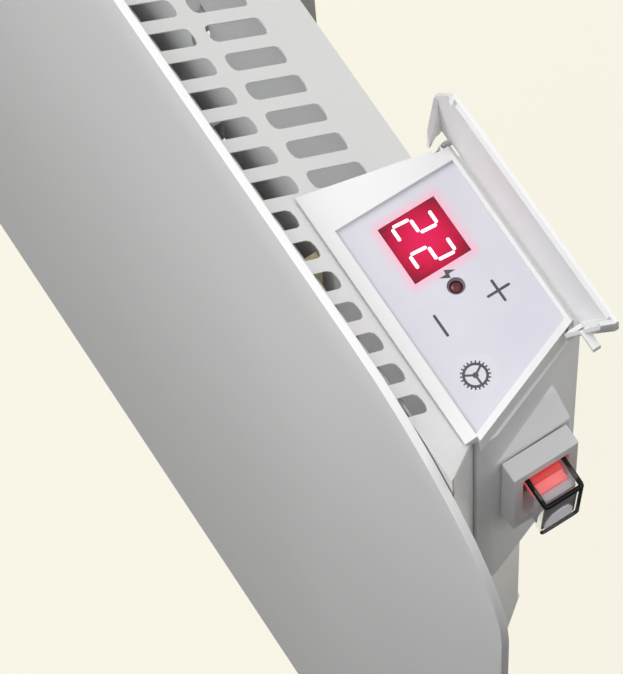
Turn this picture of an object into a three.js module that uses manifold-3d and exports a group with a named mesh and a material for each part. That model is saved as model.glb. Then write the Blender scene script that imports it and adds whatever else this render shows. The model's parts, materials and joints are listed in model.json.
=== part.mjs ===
// Wall panel convector heater: a pillow-shaped front panel hung on a slim sheet-steel duct,
// a slotted outlet that slopes down to the wall, and a control unit under a lid at the right end.
// Millimetres, +Z up, +X to the right of someone facing the heater, the wall is the plane Y = 0.
import * as THREE from 'three';
import { mergeVertices } from 'three/addons/utils/BufferGeometryUtils.js';
import { ConvexGeometry } from 'three/addons/geometries/ConvexGeometry.js';
import Module from 'manifold-3d';

const wasm = await Module();
wasm.setup();

// ---- Driving dimensions -------------------------------------------------------------------

const seat = 0.3;              // gap left between pieces that rest on each other
const runningFit = 0.35;       // gap left round pieces that move

// Front panel
const panelWidth = 600;
const panelHeight = 370;
const panelCorner = 60;        // corner radius seen from the front
const panelSkin = 1.2;
const rimDepth = 2;            // hem round the edge, front to back
const rimWidth = 2;            // hem round the edge, seen from the front
const panelBulge = 6.5;        // how far the flat of the face stands in front of the hem
const topCrown = 139.5;        // height over which the face rolls back to the top edge
const sideCrown = 75;          // width over which the face rolls back to each end
const crownRise = 50;          // how much shorter the top roll is at the very ends

// Casing, the air duct behind the panel
const wallGap = 30.2;          // wall to the back of the casing
const casingDepth = 41;
const casingLength = 553.4;    // along the front edge of the duct
const casingBottom = -72;
const grilleDrop = 6;          // top edge of the front panel to the front bend of the outlet
const grilleSlope = THREE.MathUtils.degToRad(41.1);
const endSlant = THREE.MathUtils.degToRad(37.5);   // the duct narrows towards the wall
const sheet = 0.8;
const foldedLip = 9;           // lips folded down along the outlet sheet
const plateLap = 4.5;          // how far the front plate runs up behind the outlet's lip

// Outlet slots
const slotPitch = 8.5;
const slotWidth = 5;
const slotLength = 19.3;
const slotCorner = 1.8;
const slotColumns = 51;
const frontRowEnd = 14.4;      // front bend to the rear end of the front row, down the slope
const rowWeb = 4.4;            // sheet left between the two rows
const shortSlots = 7;          // columns beside the control unit
const shortRowEnd = 7.6;       // front bend to the rear end of the short slots
const slotMargin = 4.2;        // last full column's centre to the control unit's skirt

// Air inlet
const inletSlots = 18;
const inletSlotLength = 16;
const inletSlotWidth = 6;
const inletPitch = 26;

// Control unit
const controlLeft = 213.2;     // left edge of the fascia
const fasciaFrontWidth = 56;
const fasciaBackWidth = 44.4;
const fasciaDepth = 30.6;
const fasciaFront = -60.2;     // front edge of the fascia
const fasciaRecess = 1;        // rim stands above the fascia
const fasciaThickness = 1.2;
const rimTop = 174;            // top of the control frame
const frameLeftRim = 3.2;
const frameSideRim = 1.8;
const frameBackRim = 1.7;
const frameStrip = 3;          // strip of the frame that lies on the outlet in front of the fascia
const skirtSpread = 8.3;       // how far the left skirt spreads from the rim to the outlet
const frameBackChamfer = 0.8;  // lets the lid swing past
const frameLedge = 1.4;        // ledge the fascia rests on
const skirtSheet = 0.8;        // skirt's thickness above the outlet sheet
const housingTop = 166;
const housingHeight = 104;
const housingWall = 1.8;
const housingBack = -25.8;
const housingFront = -60;
const housingSide = 269.8;     // flat that carries the switch
const housingCornerRun = 5;    // length of that flat in front of the slanted side
const bulgeTop = 151.4;        // ridge of the swelling over the switch
const bulgeRun = 6;            // how far its sloping top runs out
const bulgeShoulder = 147;   // where the slope meets the flat side
const bulgeBottom = 95;
const bulgeBack = -35.5;
const bulgeTaper = 10;         // underside runs back to the housing over this height

// Keys, lamp and display on the fascia, measured from its front left corner
const keyDiameter = 10.4;
const keyTravel = 0.5;
const keyStem = 2.4;
const keySwitchWidth = 6;
const keySwitchHeight = 3.5;
const keyAcrossX = 30.9;
const plusAcrossY = 22.4;
const minusAcrossY = 7.5;
const settingsAcross = [44.5, 7.5];
const displayWidth = 14.8;
const displayDepth = 14.2;
const displayAcross = [12.3, 15.4];
const displayBody = 7;
const lampDiameter = 3;
const lampBore = 4.1;
const lampAcross = [25, 15.3];
const lampBody = 5;
const boardThickness = 1.6;
const boardDrop = 9;           // fascia's top to the circuit board

// Lid
const lidDepth = 35;
const lidSkin = 1;
const lidLip = 0.6;            // lip along the free edge
const lidWallFront = 2;        // side walls get deeper from the free edge to the hinge
const lidWallBack = 4.6;
const lidWallLean = 2;         // side walls lean in towards their lower edge
const lidLift = 0.4;           // shut lid above the frame
const lidOverhangLeft = 5.4;   // lid past the frame's rim
const lidOverhangRight = lidSkin + lidWallLean + runningFit;
const lidSquareEnd = 5;        // the free right corner is square over this depth
const lidChamfer = [8, 16];    // cut corner at the free left end
const lidOpenAngle = 87.4;
const lidSwing = [0, 4, 9, 15, 22]; // angles at which the lid's walls must pass the frame
const earReach = 1.9;          // half width of the ears that turn on the pins
const hingePin = 1.6;
const hingeInset = 1.8;        // frame's back to the hinge line
const hingeBelow = 1.9;        // frame's top to the hinge line
const latchPeg = 1.9;
const latchReach = 4.5;        // foot of the side wall to the peg's end
const latchAcross = 16;        // hinge line to the peg

// Switch
const bezelDepth = 17.2;
const bezelHeight = 35;
const bezelProud = 5.2;
const bezelTop = 145.7;
const bezelFront = -54.1;
const openingDepth = 11.9;
const openingHeight = 26.4;
const openingTop = 4;          // bezel's top to the opening
const rockerProud = 6.6;       // rocker past the bezel at its raised end
const rockerRest = 3;          // lean of the rocker's face at rest, degrees
const rockerWall = 1.2;
const rockerCorner = 1.2;
const rockerSide = 0.9;        // gap at each side of the rocker
const rockerRoot = 3;          // rocker's inner edge behind the housing's side
const rockerSwing = 2;         // room above and below for it to tilt
const rockerAxleDiameter = 2.4;
const switchBodyDepth = 18;
const switchBodyWall = 1.2;

// Heating element and what holds it
const elementClearLeft = 10.2;  // element's left end to the casing's end
const elementClearRight = 90.2; // room for the wiring at the right
const elementHeight = -20;
const elementFins = 8;
const elementRadius = 13;
const elementCore = 5;
const finThickness = 1.8;
const supportThickness = 2.5;
const supportWidth = 30;
const supportHeight = 44;
const cutoutDiameter = 16;
const cutoutThickness = 8;
const sensorDiameter = 5;
const sensorLength = 14;

// Wall bracket
const bracketWidth = 200;
const bracketHeight = 110;
const bracketSteel = 1.5;
const bracketWindow = [52, 56];
const bracketScrewHole = 6;
const hookReach = 6;
const hookHeight = 12;
const hookDrop = 5;
const hookSpread = 36;         // upper to lower hooks, half distance
const catchWidth = 22;
const catchThickness = 3;
const catchNose = 4;
const catchTravel = 7;
const spacerDiameter = 22;
const spacerTaper = 3;
const spacerAcross = 200;
const spacerHeight = -56;

// Panel hooks and screws
const hookWidth = 24;
const panelHookAcross = 200;
const panelHookHeights = [30, -50];
const screwHead = 6;
const screwHeadHeight = 2;

// ---- Derived places -----------------------------------------------------------------------

const casingBack = -wallGap;
const casingFront = -(wallGap + casingDepth);
const rimBack = casingFront - seat;
const rimFront = rimBack - rimDepth;
const faceFlat = rimFront - panelBulge;
const halfPanel = panelWidth / 2;
const panelTop = panelHeight / 2;
const bendTop = panelTop - grilleDrop;
const grilleFall = Math.tan(grilleSlope);
const bendRear = bendTop - casingDepth * grilleFall;
const slopeLength = casingDepth / Math.cos(grilleSlope);
const endFront = casingLength / 2;
const endBack = endFront - casingDepth * Math.tan(endSlant);
const elementLeft = elementClearLeft - endBack;
const elementRight = endBack - elementClearRight;
const fasciaTop = rimTop - fasciaRecess;
const fasciaBack = fasciaFront + fasciaDepth;
const sideLean = (fasciaFrontWidth - fasciaBackWidth) / fasciaDepth;
const frameLeft = controlLeft - frameLeftRim;
const frameBack = fasciaBack + frameBackRim;
const skirtFront = fasciaFront - frameStrip;
const housingLeft = frameLeft + runningFit;
const housingFloor = housingTop - housingHeight;
const hingeY = frameBack - hingeInset;
const hingeZ = rimTop - hingeBelow;
const bezelOuter = housingSide + seat + bezelProud;
const rockerMiddleY = bezelFront + bezelDepth / 2;
const rockerMiddleZ = bezelTop - openingTop - openingHeight / 2;

// ---- Small tools --------------------------------------------------------------------------

// Turns a closed three.js geometry into a solid that can be cut and joined.
function solid(geometry) {
  const bare = geometry.index ? geometry.toNonIndexed() : geometry.clone();
  bare.deleteAttribute('normal');
  bare.deleteAttribute('uv');
  const merged = mergeVertices(bare, 1e-4);
  return new wasm.Manifold(new wasm.Mesh({
    numProp: 3,
    vertProperties: new Float32Array(merged.attributes.position.array),
    triVerts: new Uint32Array(merged.index.array),
  }));
}

// Turns a solid back into a geometry.
function geometryOf(body) {
  const cut = body.getMesh();
  const geometry = new THREE.BufferGeometry();
  const corners = new Float32Array(cut.numVert * 3);
  for (let i = 0; i < cut.numVert; i += 1) {
    for (let axis = 0; axis < 3; axis += 1) {
      corners[i * 3 + axis] = cut.vertProperties[i * cut.numProp + axis];
    }
  }
  geometry.setAttribute('position', new THREE.BufferAttribute(corners, 3));
  geometry.setIndex(new THREE.BufferAttribute(new Uint32Array(cut.triVerts), 1));
  geometry.computeVertexNormals();
  return geometry;
}

function joined(...bodies) {
  return bodies.reduce((whole, body) => whole.add(body));
}

function cutBy(body, ...tools) {
  return tools.reduce((left, tool) => left.subtract(tool), body);
}

function box(x0, x1, y0, y1, z0, z1) {
  const geometry = new THREE.BoxGeometry(x1 - x0, y1 - y0, z1 - z0);
  geometry.translate((x0 + x1) / 2, (y0 + y1) / 2, (z0 + z1) / 2);
  return solid(geometry);
}

function shapeOf(points) {
  return new THREE.Shape(points.map(([a, b]) => new THREE.Vector2(a, b)));
}

function extrusion(shape, depth, curveSegments = 3) {
  return new THREE.ExtrudeGeometry(shape, { depth, bevelEnabled: false, curveSegments });
}

// A plan outline (X, Y) standing from z0 to z1.
function upright(points, z0, z1) {
  const geometry = extrusion(shapeOf(points), z1 - z0);
  geometry.translate(0, 0, z0);
  return solid(geometry);
}

// A side outline (Y, Z) running from x0 to x1.
function alongX(points, x0, x1) {
  const geometry = extrusion(shapeOf(points), x1 - x0);
  geometry.applyMatrix4(new THREE.Matrix4().makeBasis(
    new THREE.Vector3(0, 1, 0), new THREE.Vector3(0, 0, 1), new THREE.Vector3(1, 0, 0)));
  geometry.translate(x0, 0, 0);
  return solid(geometry);
}

// A front outline (X, Z) running from y0 back to y1.
function alongY(shape, y0, y1, curveSegments = 3) {
  const geometry = extrusion(shape, y1 - y0, curveSegments);
  geometry.applyMatrix4(new THREE.Matrix4().makeBasis(
    new THREE.Vector3(1, 0, 0), new THREE.Vector3(0, 0, 1), new THREE.Vector3(0, -1, 0)));
  geometry.translate(0, y1, 0);
  return solid(geometry);
}

function cylinder(axis, diameter, from, to, centre, sides = 16) {
  const geometry = new THREE.CylinderGeometry(diameter / 2, diameter / 2, to - from, sides);
  if (axis === 'x') geometry.rotateZ(Math.PI / 2);
  if (axis === 'z') geometry.rotateX(Math.PI / 2);
  const middle = (from + to) / 2;
  const [a, b] = centre;
  if (axis === 'x') geometry.translate(middle, a, b);
  if (axis === 'y') geometry.translate(a, middle, b);
  if (axis === 'z') geometry.translate(a, b, middle);
  return solid(geometry);
}

function hull(points) {
  return solid(new ConvexGeometry(points.map(([x, y, z]) => new THREE.Vector3(x, y, z))));
}

function roundedRectangle(x0, y0, x1, y1, radius) {
  const shape = new THREE.Shape();
  shape.moveTo(x0 + radius, y0);
  shape.lineTo(x1 - radius, y0);
  shape.absarc(x1 - radius, y0 + radius, radius, -Math.PI / 2, 0, false);
  shape.lineTo(x1, y1 - radius);
  shape.absarc(x1 - radius, y1 - radius, radius, 0, Math.PI / 2, false);
  shape.lineTo(x0 + radius, y1);
  shape.absarc(x0 + radius, y1 - radius, radius, Math.PI / 2, Math.PI, false);
  shape.lineTo(x0, y0 + radius);
  shape.absarc(x0 + radius, y0 + radius, radius, Math.PI, Math.PI * 1.5, false);
  return shape;
}

const group = new THREE.Group();

function place(name, body, finish) {
  const geometry = body.isBufferGeometry ? body : geometryOf(body);
  const piece = new THREE.Mesh(geometry, finish.clone());
  piece.name = name;
  group.add(piece);
  return piece;
}

function finish(color, roughness, metalness = 0) {
  return new THREE.MeshStandardMaterial({ color, roughness, metalness });
}

// ---- Finishes -----------------------------------------------------------------------------

const whiteEnamel = finish('#e9eae9', 0.45);
const galvanised = finish('#b9bcbc', 0.4, 0.9);
const whiteAbs = finish('#ececea', 0.5);
const keyPlastic = finish('#dcdae0', 0.4);
const fasciaFilm = finish('#d3d1d8', 0.35);
const redFilter = finish('#a8122c', 0.2);
const darkPlastic = finish('#2b2b2c', 0.5);
const clearPlastic = finish('#dfe3e4', 0.08);
const lampRed = finish('#5a1420', 0.2);
const boardGreen = finish('#2f5a3c', 0.6);
const aluminium = finish('#b8babb', 0.45, 0.9);
const mica = finish('#c9b48f', 0.8);
const zincSteel = finish('#aeb2b5', 0.35, 1);
const greyPlastic = finish('#8f9193', 0.55);

// ---- Front panel --------------------------------------------------------------------------

// Half height of the panel's outline at a distance from its middle.
function outlineReach(x, inset) {
  const past = Math.abs(x) - (halfPanel - panelCorner);
  const radius = panelCorner - inset;
  const straight = panelTop - inset;
  if (past <= 0) return straight;
  return straight - radius + Math.sqrt(Math.max(0, radius * radius - past * past));
}

// Front to back place of the panel's face.
function faceAt(x, z) {
  const past = Math.max(0, Math.abs(x) - (halfPanel - sideCrown));
  const back = panelBulge * Math.min(1, (past / sideCrown) ** 2);
  const start = panelTop - topCrown + crownRise * (past / sideCrown) ** 2;
  const reach = outlineReach(x, 0) - start;
  const roll = Math.max(0, Math.min(1, (z - start) / Math.max(reach, 1)));
  return faceFlat + back + (panelBulge - back) * roll * roll;
}

// Distances across the panel at which its face is drawn: close together where it turns.
function panelStations(inset) {
  const edge = halfPanel - inset;
  const corner = halfPanel - panelCorner;
  const cornerSteps = 9;
  const half = [0, halfPanel - sideCrown];
  for (let i = 0; i <= cornerSteps; i += 1) {
    half.push(corner + (edge - corner) * Math.sin((i / cornerSteps) * Math.PI / 2));
  }
  return [...half.slice(1).reverse().map((x) => -x), ...half];
}

function panelRows(x, inset) {
  const rollSteps = 9;
  const reach = outlineReach(x, inset);
  const past = Math.max(0, Math.abs(x) - (halfPanel - sideCrown));
  const start = Math.min(panelTop - topCrown + crownRise * (past / sideCrown) ** 2, reach - rollSteps);
  const rows = [-reach];
  for (let i = 0; i <= rollSteps; i += 1) {
    rows.push(start + (reach - start) * (i / rollSteps));
  }
  return rows;
}

// One face of the panel as a grid of points, each [x, y, z].
function panelGrid(inset, setBack) {
  return panelStations(inset).map((x) => (
    panelRows(x, inset).map((z) => [x, faceAt(x, z) + setBack, z])));
}

function gridLoop(grid) {
  const last = grid.length - 1;
  const top = grid[0].length - 1;
  const loop = [];
  for (let i = 0; i <= last; i += 1) loop.push([i, 0]);
  for (let j = 1; j <= top; j += 1) loop.push([last, j]);
  for (let i = last - 1; i >= 0; i -= 1) loop.push([i, top]);
  for (let j = top - 1; j >= 1; j -= 1) loop.push([0, j]);
  return loop;
}

function frontPanel() {
  const outer = panelGrid(0, 0);
  const inner = panelGrid(rimWidth, panelSkin);
  const corners = [];
  const faces = [];
  const face = (a, b, c) => faces.push(a, b, c);
  const add = (point) => corners.push(...point) / 3 - 1;
  const number = (grid) => grid.map((column) => column.map((point) => add(point)));
  const outerAt = number(outer);
  const innerAt = number(inner);
  const cells = (at, flip) => {
    for (let i = 0; i < at.length - 1; i += 1) {
      for (let j = 0; j < at[i].length - 1; j += 1) {
        const [a, b, c, d] = [at[i][j], at[i + 1][j], at[i + 1][j + 1], at[i][j + 1]];
        if (flip) {
          face(a, c, b);
          face(a, d, c);
        } else {
          face(a, b, c);
          face(a, c, d);
        }
      }
    }
  };
  cells(outerAt, false);
  cells(innerAt, true);
  const loop = gridLoop(outer);
  const rings = [
    loop.map(([i, j]) => outerAt[i][j]),
    loop.map(([i, j]) => add([outer[i][j][0], rimBack, outer[i][j][2]])),
    loop.map(([i, j]) => add([inner[i][j][0], rimBack, inner[i][j][2]])),
    loop.map(([i, j]) => innerAt[i][j]),
  ];
  for (let r = 0; r < rings.length - 1; r += 1) {
    for (let k = 0; k < loop.length; k += 1) {
      const next = (k + 1) % loop.length;
      face(rings[r][k], rings[r + 1][k], rings[r + 1][next]);
      face(rings[r][k], rings[r + 1][next], rings[r][next]);
    }
  }
  const geometry = new THREE.BufferGeometry();
  geometry.setAttribute('position', new THREE.Float32BufferAttribute(corners, 3));
  geometry.setIndex(faces);
  geometry.computeVertexNormals();
  return geometry;
}

// ---- Casing -------------------------------------------------------------------------------

// Height of the outlet sheet's upper face at a distance from the wall.
function grilleAt(y) {
  return bendTop - (y - casingFront) * grilleFall;
}

// Plan outline between the slanted ends of the duct, drawn in by a distance.
function ductPlan(drawIn, y0, y1) {
  const halfAt = (y) => endFront - (y - casingFront) * Math.tan(endSlant) - drawIn;
  return [[-halfAt(y0), y0], [halfAt(y0), y0], [halfAt(y1), y1], [-halfAt(y1), y1]];
}

// A slot cut square through the sloping sheet: s0 and s1 are measured down the slope.
function slopeSlot(x, s0, s1) {
  const shape = roundedRectangle(-slotWidth / 2, s0, slotWidth / 2, s1, slotCorner);
  const through = 3;
  const geometry = extrusion(shape, through * 2, 1);
  geometry.translate(0, 0, -through);
  const down = new THREE.Vector3(0, Math.cos(grilleSlope), -Math.sin(grilleSlope));
  const out = new THREE.Vector3(0, Math.sin(grilleSlope), Math.cos(grilleSlope));
  geometry.applyMatrix4(new THREE.Matrix4().makeBasis(new THREE.Vector3(1, 0, 0), down, out));
  geometry.translate(x, casingFront, bendTop);
  return solid(geometry);
}

function outletSlots() {
  const lastFull = frameLeft - skirtSpread - slotMargin;
  const slots = [];
  for (let i = 0; i < slotColumns; i += 1) {
    const x = lastFull - i * slotPitch;
    slots.push(slopeSlot(x, frontRowEnd - slotLength, frontRowEnd));
    slots.push(slopeSlot(x, frontRowEnd + rowWeb, frontRowEnd + rowWeb + slotLength));
  }
  for (let i = 1; i <= shortSlots; i += 1) {
    slots.push(slopeSlot(lastFull + i * slotPitch, frontRowEnd - slotLength, shortRowEnd));
  }
  return slots;
}

// Folded sheet: down the front, over the slope and down the back.
function outletGrille() {
  const t = sheet;
  const fall = t * Math.tan(grilleSlope / 2);
  const rise = t / Math.tan(Math.PI / 4 + grilleSlope / 2);
  const profile = [
    [casingFront, bendTop - foldedLip], [casingFront, bendTop], [casingBack, bendRear],
    [casingBack, bendRear - foldedLip], [casingBack - t, bendRear - foldedLip],
    [casingBack - t, bendRear - fall], [casingFront + t, bendTop - t - rise * grilleFall],
    [casingFront + t, bendTop - foldedLip],
  ];
  const strip = alongX(profile.reverse(), -endFront, endFront);
  const plan = upright(ductPlan(0, casingFront, casingBack), casingBottom, panelTop);
  const opening = upright(housingPlan(runningFit), housingFloor, panelTop);
  return cutBy(strip.intersect(plan), opening, ...outletSlots());
}

function frontPlate() {
  const y0 = casingFront + sheet + seat;
  const top = bendTop - foldedLip + plateLap;
  const profile = [
    [y0, casingBottom + sheet + seat], [y0, top], [y0 + sheet, top],
    [y0 + sheet, casingBottom + sheet * 2 + seat], [y0 + foldedLip, casingBottom + sheet * 2 + seat],
    [y0 + foldedLip, casingBottom + sheet + seat],
  ];
  const half = endFront - (y0 + foldedLip - casingFront) * Math.tan(endSlant) - sheet * 2 - seat;
  return alongX(profile.reverse(), -half, half);
}

function rearCasing() {
  const y0 = casingBack - sheet * 2 - seat;
  const half = endBack - sheet * 2 - seat;
  const top = bendRear - seat - sheet * 2;
  const profile = [
    [y0 - foldedLip, casingBottom + sheet + seat], [y0 + sheet, casingBottom + sheet + seat],
    [y0 + sheet, top], [y0, top], [y0, casingBottom + sheet * 2 + seat],
    [y0 - foldedLip, casingBottom + sheet * 2 + seat],
  ];
  const wall = alongX(profile, -half, half);
  const notch = box(housingLeft - runningFit, endFront, y0 - foldedLip, 0,
    housingFloor - runningFit, panelTop);
  const holes = [];
  for (const side of [-1, 1]) {
    for (const level of [-1, 1]) {
      const x = side * (bracketWidth / 2 - bracketSteel / 2);
      const z = level * hookSpread;
      const slack = 1;
      holes.push(box(x - bracketSteel / 2 - slack, x + bracketSteel / 2 + slack, y0 - 1, y0 + sheet + 1,
        z - hookDrop - slack, z + hookHeight + slack));
    }
  }
  const catchHole = box(-catchWidth / 2 - runningFit, catchWidth / 2 + runningFit, y0 - 1, y0 + sheet + 1,
    catchFloor() - runningFit, catchFloor() + catchThickness + runningFit);
  return cutBy(wall, notch, catchHole, ...holes);
}

// Slanted end plate with flanges folded in along the front and the back.
function endPlate(side) {
  const drawIn = sheet + seat;
  const [front, back] = [casingFront + sheet + seat, casingBack - sheet - seat];
  const outer = upright(ductPlan(0, front, back), casingBottom, panelTop);
  const innerPlan = ductPlan(sheet / Math.cos(endSlant), front - 1, back + 1);
  const inner = upright(innerPlan, casingBottom - 1, panelTop + 1);
  const half = box(Math.min(0, side * endFront), Math.max(0, side * endFront), casingFront, casingBack,
    casingBottom, panelTop);
  const under = alongX([
    [casingFront, casingBottom + drawIn], [casingBack, casingBottom + drawIn],
    [casingBack, grilleAt(casingBack) - drawIn / Math.cos(grilleSlope)],
    [casingFront, grilleAt(casingFront) - drawIn / Math.cos(grilleSlope)],
  ], -endFront, endFront);
  const plate = outer.subtract(inner).intersect(half).intersect(under);
  if (side < 0) return plate;
  const opening = upright(housingPlan(runningFit), housingFloor - runningFit, panelTop);
  return plate.subtract(opening);
}

function inletGrille() {
  const plan = ductPlan(0, casingFront, casingBack);
  const plate = upright(plan, casingBottom, casingBottom + sheet);
  const slots = [];
  const middle = (casingFront + casingBack) / 2;
  for (let i = 0; i < inletSlots; i += 1) {
    const x = (i - (inletSlots - 1) / 2) * inletPitch;
    const shape = roundedRectangle(x - inletSlotWidth / 2, middle - inletSlotLength / 2,
      x + inletSlotWidth / 2, middle + inletSlotLength / 2, inletSlotWidth / 2 - 0.1);
    const geometry = extrusion(shape, sheet * 3, 2);
    geometry.translate(0, 0, casingBottom - sheet);
    slots.push(solid(geometry));
  }
  return cutBy(plate, ...slots);
}

// ---- Control unit -------------------------------------------------------------------------

// X of the fascia's slanted right edge.
function fasciaRight(y) {
  return controlLeft + fasciaFrontWidth - (y - fasciaFront) * sideLean;
}

// Plan outline of the housing, grown outwards by a distance.
function housingPlan(grow) {
  const turn = housingFront + housingCornerRun;
  const backRight = housingSide - (housingBack - turn) * sideLean;
  return [
    [housingLeft - grow, housingFront - grow], [housingSide + grow, housingFront - grow],
    [housingSide + grow, turn], [backRight + grow, housingBack + grow],
    [housingLeft - grow, housingBack + grow],
  ];
}

function controlHousing() {
  const shell = upright(housingPlan(0), housingFloor, housingTop);
  const bulge = alongXZ([
    [housingSide - bulgeRun * 3, bulgeTop], [housingSide - bulgeRun, bulgeTop],
    [housingSide, bulgeShoulder], [housingSide, bulgeBottom],
    [housingSide - bulgeRun * 2, bulgeBottom - bulgeTaper],
    [housingSide - bulgeRun * 3, bulgeBottom - bulgeTaper],
  ], housingFront, bulgeBack);
  const hollow = upright(housingPlan(-housingWall), housingFloor + housingWall, housingTop + 1);
  const bulgeHollow = alongXZ([
    [housingSide - bulgeRun * 3, bulgeTop - housingWall],
    [housingSide - bulgeRun - housingWall, bulgeTop - housingWall],
    [housingSide - housingWall, bulgeShoulder - housingWall],
    [housingSide - housingWall, bulgeBottom + housingWall],
    [housingSide - bulgeRun * 3, bulgeBottom + housingWall],
  ], housingFront + housingWall, bulgeBack - housingWall);
  const switchHole = box(housingSide - housingWall * 3, housingSide + 1,
    rockerMiddleY - openingDepth / 2 - switchBodyWall - seat,
    rockerMiddleY + openingDepth / 2 + switchBodyWall + seat,
    rockerMiddleZ - openingHeight / 2 - switchBodyWall - seat,
    rockerMiddleZ + openingHeight / 2 + switchBodyWall + seat);
  const inlet = cylinder('z', 9, housingFloor - 1, housingFloor + housingWall + 1,
    [housingLeft + 18, (housingFront + housingBack) / 2]);
  return cutBy(joined(shell, bulge), hollow, bulgeHollow, switchHole, inlet);
}

// An outline in X and Z running from y0 back to y1.
function alongXZ(points, y0, y1) {
  return alongY(shapeOf(points), y0, y1);
}

function framePlan(grow) {
  const right = (y) => fasciaRight(y) + frameSideRim + grow;
  return [
    [frameLeft - grow, fasciaFront - grow], [right(fasciaFront), fasciaFront - grow],
    [right(frameBack), frameBack + grow], [frameLeft - grow, frameBack + grow],
  ];
}

function fasciaPlan(grow) {
  return [
    [controlLeft - grow, fasciaFront - grow], [fasciaRight(fasciaFront) + grow, fasciaFront - grow],
    [fasciaRight(fasciaBack) + grow, fasciaBack + grow], [controlLeft - grow, fasciaBack + grow],
  ];
}

// Rim round the fascia, with the strip and the skirt that lie on the outlet sheet.
function frameOutside() {
  const lift = seat + skirtSheet;
  const over = (y) => grilleAt(y) + lift / Math.cos(grilleSlope);
  const under = (y) => grilleAt(y) + seat / Math.cos(grilleSlope);
  const rim = upright(framePlan(0), housingTop + seat, rimTop);
  const left = frameLeft - skirtSpread;
  const strip = hull([left, housingSide].flatMap((x) => [
    [x, skirtFront, over(skirtFront)], [x, skirtFront, under(skirtFront)],
    [Math.max(x, frameLeft), fasciaFront, rimTop], [Math.max(x, frameLeft), fasciaFront, under(fasciaFront)],
  ]));
  const skirt = hull([
    [left, skirtFront, over(skirtFront)], [left, skirtFront, under(skirtFront)],
    [left, casingBack, over(casingBack)], [left, casingBack, under(casingBack)],
    [frameLeft, fasciaFront, rimTop], [frameLeft, fasciaFront, under(fasciaFront)],
    [frameLeft, frameBack, rimTop], [frameLeft, casingBack, under(casingBack)],
  ]);
  return joined(rim, strip, skirt);
}

function controlFrame() {
  const pocket = upright(fasciaPlan(0), fasciaTop - fasciaThickness - seat, rimTop + 1);
  const through = upright(fasciaPlan(-frameLedge), housingTop - 1, rimTop);
  const [seatLeft, seatRight] = pinSeats();
  const pinBores = [
    cylinder('x', hingePin + seat * 2, frameLeft - 10, seatLeft + seat, [hingeY, hingeZ], 12),
    cylinder('x', hingePin + seat * 2, seatRight - seat, housingSide + 10, [hingeY, hingeZ], 12),
  ];
  const cut = frameBackChamfer;
  const backEdge = alongX([
    [frameBack - cut, rimTop], [frameBack + 1, rimTop - cut - 1], [frameBack + 1, rimTop + 1],
    [frameBack - cut, rimTop + 1],
  ], frameLeft - skirtSpread, housingSide + 10);
  const room = earReach + runningFit * 2;
  const earRoom = box(frameLeft - skirtSpread, frameLeft, hingeY - room, 0, hingeZ - room, rimTop + 1);
  return cutBy(frameOutside(), pocket, through, backEdge, earRoom, ...pinBores);
}

function onFascia([across, back]) {
  return [controlLeft + across, fasciaFront + back];
}

const keys = {
  plus: [keyAcrossX, plusAcrossY],
  minus: [keyAcrossX, minusAcrossY],
  settings: settingsAcross,
};

function fascia() {
  const plate = upright(fasciaPlan(-runningFit / 2), fasciaTop - fasciaThickness, fasciaTop);
  const below = fasciaTop - fasciaThickness - 1;
  const holes = Object.values(keys).map((at) => (
    cylinder('z', keyDiameter + runningFit, below, fasciaTop + 1, onFascia(at), 32)));
  const [x, y] = onFascia(displayAcross);
  holes.push(box(x - displayWidth / 2 - seat / 2, x + displayWidth / 2 + seat / 2,
    y - displayDepth / 2 - seat / 2, y + displayDepth / 2 + seat / 2, below, fasciaTop + 1));
  holes.push(cylinder('z', lampBore, below, fasciaTop + 1, onFascia(lampAcross), 24));
  return cutBy(plate, ...holes);
}

// Key cap level with the fascia, with the stem that reaches the switch on the board.
function key(at) {
  const board = fasciaTop - boardDrop;
  const cap = cylinder('z', keyDiameter, fasciaTop - fasciaThickness, fasciaTop, onFascia(at), 32);
  const stem = cylinder('z', keyStem, board + seat + keySwitchHeight + seat + keyTravel,
    fasciaTop - fasciaThickness + 0.1, onFascia(at), 12);
  return joined(cap, stem);
}

// Tactile switch that stands on the circuit board under a key.
function keySwitch(at) {
  const [x, y] = onFascia(at);
  const half = keySwitchWidth / 2;
  const board = fasciaTop - boardDrop + seat;
  return box(x - half, x + half, y - half, y + half, board, board + keySwitchHeight);
}

function circuitBoard() {
  const top = fasciaTop - boardDrop;
  return upright(housingPlan(-housingWall - 1), top - boardThickness, top);
}

function displayWindow() {
  const [x, y] = onFascia(displayAcross);
  return box(x - displayWidth / 2, x + displayWidth / 2, y - displayDepth / 2, y + displayDepth / 2,
    fasciaTop - fasciaThickness, fasciaTop);
}

function displayModule() {
  const [x, y] = onFascia(displayAcross);
  const board = fasciaTop - boardDrop + seat;
  return box(x - displayWidth / 2, x + displayWidth / 2, y - displayDepth / 2, y + displayDepth / 2,
    board, Math.min(board + displayBody, fasciaTop - fasciaThickness - seat));
}

function indicatorLamp() {
  const board = fasciaTop - boardDrop + seat;
  const top = fasciaTop - 0.4;
  const body = cylinder('z', lampDiameter, board, top - lampDiameter / 4, onFascia(lampAcross), 16);
  const dome = new THREE.SphereGeometry(lampDiameter / 2, 16, 8);
  dome.scale(1, 1, 0.5);
  const [x, y] = onFascia(lampAcross);
  dome.translate(x, y, top - lampDiameter / 4);
  return joined(body, solid(dome));
}

// ---- Lid ----------------------------------------------------------------------------------

// X of the lid's slanted right edge, square over the last stretch to the free edge.
function lidRight(y) {
  const squareFrom = hingeY - lidDepth + lidSquareEnd;
  return fasciaRight(Math.max(y, squareFrom)) + frameSideRim + lidOverhangRight;
}

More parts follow.
